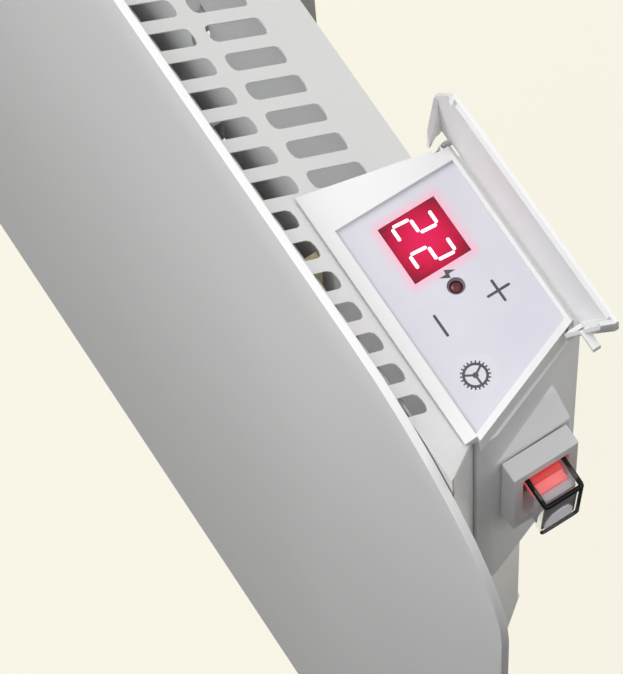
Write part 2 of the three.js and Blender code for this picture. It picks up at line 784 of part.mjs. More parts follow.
// Outline of the lid's skin drawn shut, from the hinge round the left end to the right end.
function lidPlan() {
  const front = hingeY - lidDepth;
  const left = frameLeft - lidOverhangLeft;
  const [cutX, cutY] = lidChamfer;
  return [
    [left, hingeY], [left, front + cutY], [left + cutX, front], [lidRight(front), front],
    [lidRight(front), front + lidSquareEnd], [lidRight(hingeY), hingeY],
  ];
}

// How deep a side wall is at a distance from the wall plane.
function lidWallDepth(y) {
  return lidWallBack + (lidWallFront - lidWallBack) * ((hingeY - y) / lidDepth);
}

// Side wall under one stretch of the lid's edge; inward is +1 or -1 along X.
function lidWall([from, to], inward, under) {
  return hull([from, to].flatMap(([x, y]) => {
    const low = under - lidWallDepth(y);
    const foot = x + inward * lidWallLean;
    return [
      [x, y, under + 0.1], [x + inward * lidSkin, y, under + 0.1],
      [foot, y, low], [foot + inward * lidSkin, y, low],
    ];
  }));
}

// The lid drawn shut: a skin over the frame with a side wall at each end.
function lidShut() {
  const under = rimTop + lidLift;
  const plan = lidPlan();
  const skin = upright(plan, under, under + lidSkin);
  const clearOfFrame = hingeY - hingeBelow - lidLift * 2;
  const wallEnd = [lidRight(clearOfFrame), clearOfFrame];
  const walls = [
    lidWall([plan[0], plan[1]], 1, under), lidWall([plan[1], plan[2]], 1, under),
    lidWall([plan[3], plan[4]], -1, under), lidWall([plan[4], wallEnd], -1, under),
  ];
  const front = hingeY - lidDepth;
  const lip = box(plan[2][0] + lidWallLean, plan[3][0] - lidWallLean, front, front + lidSkin,
    under - lidLip, under + 0.1);
  const ear = earReach;
  const cheeks = cheekPlaces().map((x) => hull([x, x + lidSkin].flatMap((side) => [
    [side, hingeY - ear, under + 0.1], [side, hingeY - ear, hingeZ - ear / 2],
    [side, hingeY - ear / 2, hingeZ - ear], [side, hingeY + ear / 2, hingeZ - ear],
    [side, hingeY + ear, hingeZ - ear / 2], [side, hingeY + ear, hingeZ], [side, hingeY, under + 0.1],
  ])));
  const bores = cylinder('x', hingePin + runningFit * 2, frameLeft - 10, housingSide + 10,
    [hingeY, hingeZ], 16);
  const pegY = hingeY - latchAcross;
  const pegX = lidRight(pegY) - lidWallLean;
  const pegFloor = under - lidWallDepth(pegY) - seat;
  const peg = box(pegX - lidSkin / 2, pegX + latchReach, pegY - latchPeg / 2, pegY + latchPeg / 2,
    pegFloor, pegFloor + latchPeg);
  return cutBy(joined(skin, ...walls, lip, ...cheeks, peg), bores, ...lidSwing.map(frameSweep));
}

// The frame and the outlet sheet as the lid meets them while it is still open by an angle.
function frameSweep(angle) {
  const margin = runningFit + seat / 2;
  const top = (y) => grilleAt(y) + skirtSheet;
  const [front, back] = [fasciaFront - lidDepth, hingeY - lidDepth / 2];
  const sheet = alongX([[front, top(front)], [back, top(back)], [back, 0], [front, 0]],
    frameLeft - lidDepth, housingSide + lidDepth);
  return joined(frameOutside(), sheet)
    .translate([0, 0, margin])
    .translate([0, -hingeY, -hingeZ])
    .rotate([angle, 0, 0])
    .translate([0, hingeY, hingeZ]);
}

// The lid stands open, turned about its hinge line.
function lidOpen() {
  const geometry = geometryOf(lidShut());
  geometry.translate(0, -hingeY, -hingeZ);
  geometry.rotateX(-THREE.MathUtils.degToRad(lidOpenAngle));
  geometry.translate(0, hingeY, hingeZ);
  geometry.computeVertexNormals();
  return geometry;
}

// X of the two cheeks that turn on the hinge pins, just outside the frame.
function cheekPlaces() {
  return [frameLeft - runningFit - lidSkin, fasciaRight(hingeY - earReach) + frameSideRim + runningFit];
}

// Two short pins seated in the frame's back corners.
function hingePins() {
  const [left, right] = cheekPlaces();
  const [seatLeft, seatRight] = pinSeats();
  return [
    cylinder('x', hingePin, left, seatLeft, [hingeY, hingeZ], 12),
    cylinder('x', hingePin, seatRight, right + lidSkin, [hingeY, hingeZ], 12),
  ];
}

function pinSeats() {
  const wall = 0.6;
  return [controlLeft - wall, fasciaRight(hingeY) + wall];
}

// ---- Switch -------------------------------------------------------------------------------

function switchBezel() {
  const x0 = housingSide + seat;
  const block = box(x0, bezelOuter, bezelFront, bezelFront + bezelDepth, bezelTop - bezelHeight, bezelTop);
  const opening = box(x0 - 1, bezelOuter + 1,
    rockerMiddleY - openingDepth / 2, rockerMiddleY + openingDepth / 2,
    rockerMiddleZ - openingHeight / 2, rockerMiddleZ + openingHeight / 2);
  return block.subtract(opening);
}

// Moulded body behind the bezel, open to the front where the rocker tilts.
function switchBody() {
  const x1 = housingSide + seat - seat;
  const x0 = x1 - switchBodyDepth;
  const grow = switchBodyWall;
  const shell = box(x0, x1, rockerMiddleY - openingDepth / 2 - grow, rockerMiddleY + openingDepth / 2 + grow,
    rockerMiddleZ - openingHeight / 2 - grow, rockerMiddleZ + openingHeight / 2 + grow);
  const hollow = box(x0 + switchBodyDepth / 3, x1 + 1, rockerMiddleY - openingDepth / 2,
    rockerMiddleY + openingDepth / 2, rockerMiddleZ - openingHeight / 2, rockerMiddleZ + openingHeight / 2);
  return shell.subtract(hollow);
}

// Rocker: a hollow clear cap with rounded ends, leaning at rest, cut for its axle.
function rocker() {
  const halfY = openingDepth / 2 - rockerSide;
  const halfZ = openingHeight / 2 - rockerSwing;
  const tip = bezelProud + rockerProud + rockerRoot;
  const outline = roundedRectangle(-halfZ, 0, halfZ, tip, rockerCorner);
  const inside = roundedRectangle(-halfZ + rockerWall, -1, halfZ - rockerWall, tip - rockerWall,
    rockerCorner / 2);
  const cap = extrusion(outline, halfY * 2, 3);
  const hollow = extrusion(inside, (halfY - rockerWall) * 2, 3);
  cap.translate(0, 0, -halfY);
  hollow.translate(0, 0, -halfY + rockerWall);
  const geometry = geometryOf(solid(cap).subtract(solid(hollow)));
  geometry.applyMatrix4(new THREE.Matrix4().makeBasis(
    new THREE.Vector3(0, 0, 1), new THREE.Vector3(1, 0, 0), new THREE.Vector3(0, 1, 0)));
  geometry.rotateY(THREE.MathUtils.degToRad(-rockerRest));
  geometry.translate(housingSide - rockerRoot, rockerMiddleY, rockerMiddleZ);
  const bore = cylinder('y', rockerAxleDiameter + runningFit * 2, rockerMiddleY - halfY - 1,
    rockerMiddleY + halfY + 1, rockerPivot(), 16);
  return solid(geometry).subtract(bore);
}

function rockerPivot() {
  return [housingSide, rockerMiddleZ];
}

function rockerAxle() {
  const [x, z] = rockerPivot();
  const half = openingDepth / 2 - seat / 2;
  return cylinder('y', rockerAxleDiameter, rockerMiddleY - half, rockerMiddleY + half, [x, z], 12);
}

// ---- Heating element ----------------------------------------------------------------------

// Finned section cast round the heating wire, running along the duct.
function heatingElement() {
  const points = [];
  for (let i = 0; i < elementFins; i += 1) {
    const angle = (i / elementFins) * Math.PI * 2;
    const along = new THREE.Vector2(Math.cos(angle), Math.sin(angle));
    const across = new THREE.Vector2(-along.y, along.x);
    const root = elementCore;
    for (const [reach, side] of [[root, -1], [elementRadius, -1], [elementRadius, 1], [root, 1]]) {
      const width = finThickness / 2 * (reach === root ? 1.3 : 0.7);
      points.push([along.x * reach + across.x * side * width, along.y * reach + across.y * side * width]);
    }
  }
  const body = alongX(points, elementLeft, elementRight);
  return body.translate([0, elementMiddleY(), elementHeight]);
}

function elementMiddleY() {
  return (casingFront + casingBack) / 2;
}

function elementSupport(side) {
  const x = side < 0 ? elementLeft - seat : elementRight + seat;
  const x0 = side < 0 ? x - supportThickness : x;
  const y = elementMiddleY();
  const foot = casingBottom + sheet * 2 + seat * 2;
  const [front, back] = [y - supportWidth / 2, y + supportWidth / 2];
  return joined(
    box(x0, x0 + supportThickness, front, back, foot, elementHeight + supportHeight / 2),
    box(x0, x0 + supportThickness * 4, front, back, foot, foot + 1),
  );
}

function thermalCutout() {
  const y1 = casingBack - sheet * 2 - seat * 2;
  const level = elementHeight + elementRadius + 24;
  const flange = box(-12, 12, y1 - 1.2, y1, level - 5, level + 5);
  const disc = cylinder('y', cutoutDiameter, y1 - 1.2 - cutoutThickness, y1 - 1, [0, level], 20);
  return joined(flange, disc);
}

function temperatureSensor() {
  const x = housingLeft + 32;
  const y = (housingFront + housingBack) / 2;
  const top = housingFloor - seat;
  return cylinder('z', sensorDiameter, top - sensorLength, top, [x, y], 12);
}

function cordInlet() {
  const x = housingLeft + 18;
  const y = (housingFront + housingBack) / 2;
  const bush = cylinder('z', 9 - seat * 2, housingFloor - 5, housingFloor + housingWall + 2, [x, y], 20);
  const collar = cylinder('z', 14, housingFloor - 5, housingFloor - seat, [x, y], 20);
  const bore = cylinder('z', 5.6, housingFloor - 6, housingFloor + housingWall + 3, [x, y], 16);
  return joined(bush, collar).subtract(bore);
}

function terminalBlock() {
  const x = housingLeft + housingWall + 4;
  const y = housingBack - housingWall - seat;
  const z = housingFloor + housingWall + 30;
  const body = box(x, x + 24, y - 9, y, z, z + 14);
  const ports = [0, 1, 2].map((i) => (
    cylinder('z', 3.2, z + 6, z + 15, [x + 5 + i * 7, y - 4.5], 12)));
  return cutBy(body, ...ports);
}

// ---- Wall bracket -------------------------------------------------------------------------

function catchFloor() {
  return bracketHeight / 2 + bracketSteel + seat;
}

function wallBracket() {
  const half = bracketWidth / 2;
  const plate = box(-half, half, -bracketSteel, 0, -bracketHeight / 2, bracketHeight / 2);
  const arms = [-1, 1].map((side) => {
    const x0 = side < 0 ? -half : half - bracketSteel;
    const arm = box(x0, x0 + bracketSteel, casingBack + seat, 0, -bracketHeight / 2, bracketHeight / 2);
    const hooks = [-1, 1].map((level) => {
      const z = level * hookSpread;
      return joined(
        box(x0, x0 + bracketSteel, casingBack - hookReach, casingBack + seat + 1, z, z + hookHeight),
        box(x0, x0 + bracketSteel, casingBack - hookReach, casingBack - hookReach + 2.2, z - hookDrop, z + 1),
      );
    });
    return joined(arm, ...hooks);
  });
  const top = bracketHeight / 2;
  const shelf = box(-catchWidth, catchWidth, casingBack + seat + 2, 0, top, top + bracketSteel);
  const shelfJoin = box(-catchWidth, catchWidth, -bracketSteel, 0, top - 1, top + bracketSteel);
  const windows = [-1, 1].map((side) => {
    const x = side * (half / 2);
    const [w, h] = bracketWindow;
    return alongY(roundedRectangle(x - w / 2, -h / 2, x + w / 2, h / 2, 8), -bracketSteel - 1, 1);
  });
  const screwHoles = [];
  for (const x of [-half + 20, 0, half - 20]) {
    for (const z of [-bracketHeight / 2 + 14, bracketHeight / 2 - 14]) {
      screwHoles.push(cylinder('y', bracketScrewHole, -bracketSteel - 1, 1, [x, z], 16));
    }
  }
  return cutBy(joined(plate, ...arms, shelf, shelfJoin), ...windows, ...screwHoles);
}

// Sliding catch on the bracket's shelf; its nose enters the back of the casing.
function bracketCatch() {
  const z0 = catchFloor();
  const back = -bracketSteel - catchTravel - 3;
  const wallFace = casingBack - sheet - seat;
  const bar = box(-catchWidth / 2, catchWidth / 2, wallFace - sheet - catchNose, back,
    z0, z0 + catchThickness);
  const grip = box(-catchWidth / 2, catchWidth / 2, back - 4, back, z0, z0 + catchThickness + 5);
  return joined(bar, grip);
}

// Tapered foot that keeps the casing's lower edge off the wall.
function wallSpacer(side) {
  const length = wallGap - seat;
  const geometry = new THREE.CylinderGeometry(
    spacerDiameter / 2, spacerDiameter / 2 - spacerTaper, length, 20);
  geometry.translate(side * spacerAcross, -length / 2, spacerHeight);
  return solid(geometry);
}

// ---- Hooks and screws ---------------------------------------------------------------------

function panelHooks() {
  const hooks = [];
  const back = casingFront + sheet;
  const front = faceFlat + panelSkin + seat;
  for (const side of [-1, 1]) {
    for (const z of panelHookHeights) {
      const x = side * panelHookAcross;
      const x0 = x - hookWidth / 2;
      const x1 = x + hookWidth / 2;
      hooks.push(joined(
        box(x0, x1, front, front + 1, z - 12, z + 12),
        box(x0, x1, front, back, z - 1, z),
        box(x0, x1, back - 1, back, z - 12, z),
      ));
    }
  }
  return hooks;
}

function casingScrews() {
  const screws = [];
  for (const side of [-1, 1]) {
    for (const x of [60, 130]) {
      screws.push(cylinder('z', screwHead, casingBottom - screwHeadHeight, casingBottom - seat,
        [side * x * 1.3, casingBack - 4], 10));
    }
  }
  return screws;
}

// ---- The heater ---------------------------------------------------------------------------

place('front_panel', frontPanel(), whiteEnamel);
panelHooks().forEach((hook, i) => place(`panel_hook_${i + 1}`, hook, galvanised));
place('outlet_grille', outletGrille(), whiteEnamel);
place('front_plate', frontPlate(), galvanised);
place('rear_casing', rearCasing(), whiteEnamel);
place('end_plate_left', endPlate(-1), whiteEnamel);
place('end_plate_right', endPlate(1), whiteEnamel);
place('inlet_grille', inletGrille(), whiteEnamel);
casingScrews().forEach((screw, i) => place(`casing_screw_${i + 1}`, screw, zincSteel));
place('heating_element', heatingElement(), aluminium);
place('element_support_left', elementSupport(-1), mica);
place('element_support_right', elementSupport(1), mica);
place('thermal_cutout', thermalCutout(), darkPlastic);
place('control_housing', controlHousing(), whiteAbs);
place('control_frame', controlFrame(), whiteAbs);
place('fascia', fascia(), fasciaFilm);
for (const [name, at] of Object.entries(keys)) {
  place(`${name}_button`, key(at), keyPlastic);
  place(`${name}_switch`, keySwitch(at), darkPlastic);
}
place('circuit_board', circuitBoard(), boardGreen);
place('display_window', displayWindow(), redFilter);
place('display_module', displayModule(), darkPlastic);
place('indicator_lamp', indicatorLamp(), lampRed);
place('lid', lidOpen(), whiteAbs);
hingePins().forEach((pin, i) => place(`lid_hinge_pin_${i + 1}`, pin, zincSteel));
place('switch_bezel', switchBezel(), whiteAbs);
place('switch_body', switchBody(), darkPlastic);
place('rocker', rocker(), clearPlastic);
place('rocker_axle', rockerAxle(), zincSteel);
place('terminal_block', terminalBlock(), greyPlastic);
place('temperature_sensor', temperatureSensor(), greyPlastic);
place('cord_inlet', cordInlet(), greyPlastic);
place('wall_bracket', wallBracket(), zincSteel);
place('bracket_catch', bracketCatch(), greyPlastic);
place('wall_spacer_left', wallSpacer(-1), greyPlastic);
place('wall_spacer_right', wallSpacer(1), greyPlastic);

export default group;
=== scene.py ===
"""Wall panel convector heater: looks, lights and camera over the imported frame."""

import json
import math

import bmesh
import bpy
from mathutils import Matrix, Vector


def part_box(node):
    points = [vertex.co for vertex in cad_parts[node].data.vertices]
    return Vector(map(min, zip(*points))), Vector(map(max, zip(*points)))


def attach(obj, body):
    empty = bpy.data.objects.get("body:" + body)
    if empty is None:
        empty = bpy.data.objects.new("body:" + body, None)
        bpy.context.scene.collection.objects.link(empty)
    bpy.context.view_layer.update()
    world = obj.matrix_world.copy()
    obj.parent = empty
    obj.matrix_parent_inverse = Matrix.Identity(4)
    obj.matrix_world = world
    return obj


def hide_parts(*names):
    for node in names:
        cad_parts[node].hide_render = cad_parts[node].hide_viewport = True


bl_info = {
    "name": "Wall panel convector heater",
    "version": (1, 0, 0),
    "blender": (4, 5, 0),
    "location": "View3D > Sidebar > Heater",
    "description": (
        "Dresses the packed heater: enamel, moulded plastic, display, keys, rocker and studio"
    ),
    "category": "Object",
}

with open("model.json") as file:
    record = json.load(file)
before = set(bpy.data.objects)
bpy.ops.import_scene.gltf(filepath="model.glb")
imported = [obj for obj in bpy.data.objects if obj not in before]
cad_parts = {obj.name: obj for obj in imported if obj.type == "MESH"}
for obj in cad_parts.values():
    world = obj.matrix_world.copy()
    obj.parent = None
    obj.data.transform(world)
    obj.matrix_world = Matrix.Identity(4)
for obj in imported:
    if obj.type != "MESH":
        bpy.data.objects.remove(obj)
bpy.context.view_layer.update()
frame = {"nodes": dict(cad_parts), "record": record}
MM = 0.001

# Rocker, in mm, drawn upright and then turned about its pivot to its tilt at rest.
ROCKER_PIVOT = (269.8, -45.5, 128.5)
ROCKER_TILT = 3.0
ROCKER_FACE, ROCKER_INNER = 281.9, 272.0
ROCKER_FRONT, ROCKER_BACK = -50.3, -40.7
ROCKER_TOP, ROCKER_FOOT = 140.1, 117.9
TOP_LINE_RADIUS, FACE_LINE_RADIUS = 0.62, 0.45
ARCH_PLACE, ARCH_THICKNESS = 281.22, 0.3
ARCH_OUTLINE = (
    (-49.3, 118.9),
    (-42.0, 118.9),
    (-42.0, 124.0),
    (-43.2, 127.4),
    (-45.0, 128.4),
    (-47.3, 127.2),
    (-48.7, 124.8),
    (-49.3, 122.0),
)

# Marks, in mm: places, outlines and widths of line.
DIGIT_PLACES = ((-4.0, 0.0), (3.5, -0.2))
DIGIT_LEAN = 0.086
SIGN_REACH = 2.65
GEAR_OUTER, GEAR_INNER, GEAR_HUB_WIDTH = 2.9, 2.3, 1.35
TOOTH_COUNT, TOOTH_START, TOOTH_END, TOOTH_WIDTH = 22, 2.75, 3.3, 0.36
SPOKE_COUNT, SPOKE_START, SPOKE_END, SPOKE_WIDTH = 3, 0.5, 2.5, 0.5
BOLT_PLACE = (9.3, -0.2)
BOLT_OUTLINE = (
    (-1.19, -0.17), (0.08, 2.06), (0.12, 0.32), (1.21, 0.15), (-0.08, -2.06), (-0.04, -0.37)
)
INK_SUNK, INK_PROUD = 0.01, 0.025

# Key seals and lamp collar, in mm.
SEAL_OUTSIDE, SEAL_INSIDE, SEAL_DEPTH, SEAL_BELOW = 0.45, 0.04, 0.8, 0.012
COLLAR_OUTER, COLLAR_INNER, COLLAR_DEPTH, COLLAR_BELOW = 2.04, 1.53, 1.2, 0.25
FASCIA_MARGIN = 0.16

# Camera at the photograph's place, in metres and as directions.
CAMERA_LENS, SENSOR_WIDTH, CAMERA_FAR = 219.3, 36, 30
CAMERA_PLACE = (0.50451, -0.21485, 1.00797)
CAMERA_RIGHT = (0.5376, 0.8423, -0.0377)
CAMERA_BACK = (0.3077, -0.1544, 0.9389)

# Suns: name, setting that holds the strength, heading, spread in degrees.
SUNS = (
    ("key_lamp", "key_power", (0.5, 0.5, -0.71), 45),
    ("top_lamp", "top_power", (-0.3, -0.4, -0.87), 50),
)

# Area lamps: name, setting that holds the power, share of it, place, aim, size. The last three are
# inside the casing. No heater has a light there: they are only for the picture, so that the slots
# read as grey.
AREA_LAMPS = (
    ("fill_lamp", "fill_power", 1.0, (-0.45, -0.56, -0.49), (-0.45, -0.56, 0), (1.0, 0.6)),
    ("duct_lamp", "duct_power", 1.0, (0.0, -0.060, 0.04), (0.0, 0.0, 0.04), (0.46, 0.14)),
    ("element_lamp", "duct_power", 0.25, (-0.02, -0.045, 0.03), (-0.02, -0.045, 0.0), (0.42, 0.02)),
    ("housing_lamp", "duct_power", 0.022, (0.23, -0.068, 0.13), (0.23, 0.0, 0.13), (0.05, 0.04)),
)

# Black cards that the camera doesn't see and that cast no shadow: name, low corner, high corner,
# whether diffuse rays see it. The low card is for glossy rays: it keeps the pale floor out of the
# enamel's sheen.
CARDS = (
    ("side_card", (0.62, -0.7, -0.49), (0.63, 0.4, 0.2), True),
    ("low_card", (-1.0, -0.9, -0.496), (0.61, 0.12, -0.495), False),
)


# ---- Colour and node helpers --------------------------------------------------------------


def linear(hex_colour):
    """An sRGB hex value as linear red, green, blue and alpha."""
    out = []
    for i in (1, 3, 5):
        c = int(hex_colour[i : i + 2], 16) / 255
        out.append(c / 12.92 if c <= 0.04045 else ((c + 0.055) / 1.055) ** 2.4)
    return (*out, 1.0)


def add_node(tree, kind, links=(), **settings):
    """Adds a node. Settings name its properties, or its inputs by in_0, in_1 or in_Name; links
    join inputs."""
    node = tree.nodes.new(kind)
    for key, value in settings.items():
        if key.startswith("in_"):
            name = key[3:]
            socket = int(name) if name.isdigit() else name.replace("_", " ")
            node.inputs[socket].default_value = value
        else:
            setattr(node, key, value)
    for source, target in links:
        tree.links.new(source, node.inputs[target])
    return node


def new_material(name):
    """An empty node material, its tree, its principled shader and its object coordinates."""
    material = bpy.data.materials.new(name)
    material.use_nodes = True
    tree = material.node_tree
    tree.nodes.clear()
    out = add_node(tree, "ShaderNodeOutputMaterial")
    shader = add_node(tree, "ShaderNodeBsdfPrincipled")
    tree.links.new(shader.outputs[0], out.inputs[0])
    place = add_node(tree, "ShaderNodeTexCoord").outputs["Object"]
    return material, tree, shader, place


def grain(tree, shader, place, grain_mm, height_mm, rough=(0.4, 0.5), detail=3.0):
    """Fine surface relief and a matching change in gloss, with a grain of a real size."""
    noise = add_node(
        tree,
        "ShaderNodeTexNoise",
        [(place, "Vector")],
        in_Scale=1 / (grain_mm * MM),
        in_Detail=detail,
    )
    bump = add_node(
        tree,
        "ShaderNodeBump",
        [(noise.outputs["Fac"], "Height")],
        in_Strength=0.6,
        in_Distance=height_mm * MM,
    )
    gloss = add_node(
        tree,
        "ShaderNodeMapRange",
        [(noise.outputs["Fac"], "Value")],
        in_To_Min=rough[0],
        in_To_Max=rough[1],
    )
    tree.links.new(bump.outputs["Normal"], shader.inputs["Normal"])
    tree.links.new(gloss.outputs["Result"], shader.inputs["Roughness"])
    return noise


def tinted(tree, shader, place, light, dark, patch_mm, spread=0.35):
    """Slow drift between two near colours over patches of a real size."""
    noise = add_node(
        tree, "ShaderNodeTexNoise", [(place, "Vector")], in_Scale=1 / (patch_mm * MM), in_Detail=2.0
    )
    ramp = add_node(tree, "ShaderNodeValToRGB", [(noise.outputs["Fac"], "Fac")])
    ramp.color_ramp.elements[0].position = 0.5 - spread / 2
    ramp.color_ramp.elements[0].color = linear(dark)
    ramp.color_ramp.elements[1].position = 0.5 + spread / 2
    ramp.color_ramp.elements[1].color = linear(light)
    tree.links.new(ramp.outputs["Color"], shader.inputs["Base Color"])
    return ramp


# ---- Finishes -----------------------------------------------------------------------------


def powder_coat(name, light, dark, rough):
    """Polyester powder coat on steel sheet: an even satin skin with the faint orange peel of
    baked powder."""
    material, tree, shader, place = new_material(name)
    tinted(tree, shader, place, light, dark, 60)
    grain(tree, shader, place, 0.9, 0.012, rough)
    shader.inputs["IOR"].default_value = 1.5
    return material


def moulded_abs(name, light, dark, rough):
    """Injection-moulded ABS: a fine spark-eroded texture and soft gloss."""
    material, tree, shader, place = new_material(name)
    tinted(tree, shader, place, light, dark, 25)
    grain(tree, shader, place, 0.35, 0.006, rough)
    shader.inputs["IOR"].default_value = 1.53
    shader.inputs["Subsurface Weight"].default_value = 0.05
    shader.inputs["Subsurface Radius"].default_value = (0.002, 0.002, 0.002)
    return material


def galvanised_sheet():
    """Hot-dip galvanised steel: flat crystals of zinc, about 6 mm across, each with its own
    grey."""
    material, tree, shader, place = new_material("galvanised_sheet")
    cells = add_node(tree, "ShaderNodeTexVoronoi", [(place, "Vector")], in_Scale=1 / (6 * MM))
    ramp = add_node(tree, "ShaderNodeValToRGB", [(cells.outputs["Color"], "Fac")])
    ramp.color_ramp.elements[0].color = linear("#a6a8a9")
    ramp.color_ramp.elements[1].color = linear("#c9cbcb")
    tree.links.new(ramp.outputs["Color"], shader.inputs["Base Color"])
    gloss = add_node(
        tree,
        "ShaderNodeMapRange",
        [(cells.outputs["Color"], "Value")],
        in_To_Min=0.35,
        in_To_Max=0.55,
    )
    tree.links.new(gloss.outputs["Result"], shader.inputs["Roughness"])
    shader.inputs["Metallic"].default_value = 0.6
    return material


def bright_zinc():
    """Bright zinc plate on pressed steel: cool grey metal with fine drawing lines."""
    material, tree, shader, place = new_material("bright_zinc")
    stretch = add_node(tree, "ShaderNodeMapping", [(place, "Vector")], in_Scale=(40, 900, 900))
    noise = add_node(
        tree, "ShaderNodeTexNoise", [(stretch.outputs[0], "Vector")], in_Scale=1.0, in_Detail=3.0
    )
    ramp = add_node(tree, "ShaderNodeValToRGB", [(noise.outputs["Fac"], "Fac")])
    ramp.color_ramp.elements[0].color = linear("#a9adb0")
    ramp.color_ramp.elements[1].color = linear("#d6dadd")
    tree.links.new(ramp.outputs["Color"], shader.inputs["Base Color"])
    gloss = add_node(
        tree,
        "ShaderNodeMapRange",
        [(noise.outputs["Fac"], "Value")],
        in_To_Min=0.22,
        in_To_Max=0.42,
    )
    tree.links.new(gloss.outputs["Result"], shader.inputs["Roughness"])
    shader.inputs["Metallic"].default_value = 0.8
    return material


def cast_aluminium():
    """Die-cast aluminium: dull grey metal with a sandy skin of about 0.8 mm."""
    material, tree, shader, place = new_material("cast_aluminium")
    tinted(tree, shader, place, "#b9bbbc", "#9c9fa1", 8)
    grain(tree, shader, place, 0.8, 0.03, (0.5, 0.7))
    shader.inputs["Metallic"].default_value = 0.6
    return material


def insulating_board():
    """Pressed mica board: buff sheet with small bright flakes about 1.5 mm across."""
    material, tree, shader, place = new_material("insulating_board")
    cells = add_node(tree, "ShaderNodeTexVoronoi", [(place, "Vector")], in_Scale=1 / (1.5 * MM))
    ramp = add_node(tree, "ShaderNodeValToRGB", [(cells.outputs["Color"], "Fac")])
    ramp.color_ramp.elements[0].color = linear("#a8936a")
    ramp.color_ramp.elements[1].color = linear("#d8c9a4")
    tree.links.new(ramp.outputs["Color"], shader.inputs["Base Color"])
    shader.inputs["Roughness"].default_value = 0.7
    return material


def circuit_laminate():
    """Glass-epoxy laminate under green solder resist, with the faint 1 mm weave of the glass."""
    material, tree, shader, place = new_material("circuit_laminate")
    weave = add_node(tree, "ShaderNodeTexChecker", [(place, "Vector")], in_Scale=1 / (1.0 * MM))
    weave.inputs["Color1"].default_value = linear("#1f5a36")
    weave.inputs["Color2"].default_value = linear("#24653e")
    tree.links.new(weave.outputs["Color"], shader.inputs["Base Color"])
    shader.inputs["Roughness"].default_value = 0.35
    return material


def display_glow(centre, half):
    """Red filter over a lit display: saturated red that burns pink in the middle and darkens to
    the frame."""
    material, tree, shader, place = new_material("lit_red_filter")
    local = add_node(tree, "ShaderNodeMapping", [(place, "Vector")])
    local.inputs["Location"].default_value = (-centre.x / half.x, -centre.y / half.y, 0)
    local.inputs["Scale"].default_value = (1 / half.x, 1 / half.y, 0)
    reach = add_node(tree, "ShaderNodeVectorMath", [(local.outputs[0], 0)], operation="LENGTH")
    noise = add_node(
        tree, "ShaderNodeTexNoise", [(place, "Vector")], in_Scale=1 / (1.4 * MM), in_Detail=3.0
    )
    sway = add_node(
        tree, "ShaderNodeMath", [(noise.outputs["Fac"], 0)], in_1=0.35, operation="MULTIPLY"
    )
    spread = add_node(
        tree, "ShaderNodeMath", [(reach.outputs["Value"], 0), (sway.outputs[0], 1)], operation="ADD"
    )
    level = add_node(
        tree, "ShaderNodeMapRange", [(spread.outputs[0], "Value")], in_From_Min=0.4, in_From_Max=1.6
    )
    ramp = add_node(tree, "ShaderNodeValToRGB", [(level.outputs[0], "Fac")])
    stops = ramp.color_ramp.elements
    stops[0].position, stops[0].color = 0.0, linear("#ee1b5c")
    stops[1].position, stops[1].color = 1.0, linear("#7c1a34")
    for position, colour in ((0.35, "#e2154f"), (0.62, "#c41040"), (0.8, "#a21238")):
        stops.new(position).color = linear(colour)
    tree.links.new(ramp.outputs["Color"], shader.inputs["Emission Color"])
    shader.inputs["Emission Strength"].default_value = 0.92
    shader.inputs["Base Color"].default_value = linear("#200208")
    shader.inputs["Roughness"].default_value = 0.35
    shader.inputs["Specular IOR Level"].default_value = 0.2
    return material


def lit_segment():
    """The lit bars of the digits: near white with a pink cast."""
    material, tree, shader, place = new_material("lit_segment")
    noise = add_node(tree, "ShaderNodeTexNoise", [(place, "Vector")], in_Scale=1 / (0.8 * MM))
    ramp = add_node(tree, "ShaderNodeValToRGB", [(noise.outputs["Fac"], "Fac")])
    ramp.color_ramp.elements[0].color = linear("#ffd9ee")
    ramp.color_ramp.elements[1].color = linear("#fff6fc")
    tree.links.new(ramp.outputs["Color"], shader.inputs["Emission Color"])
    shader.inputs["Emission Strength"].default_value = 1.0
    shader.inputs["Base Color"].default_value = linear("#f5d5e3")
    return material


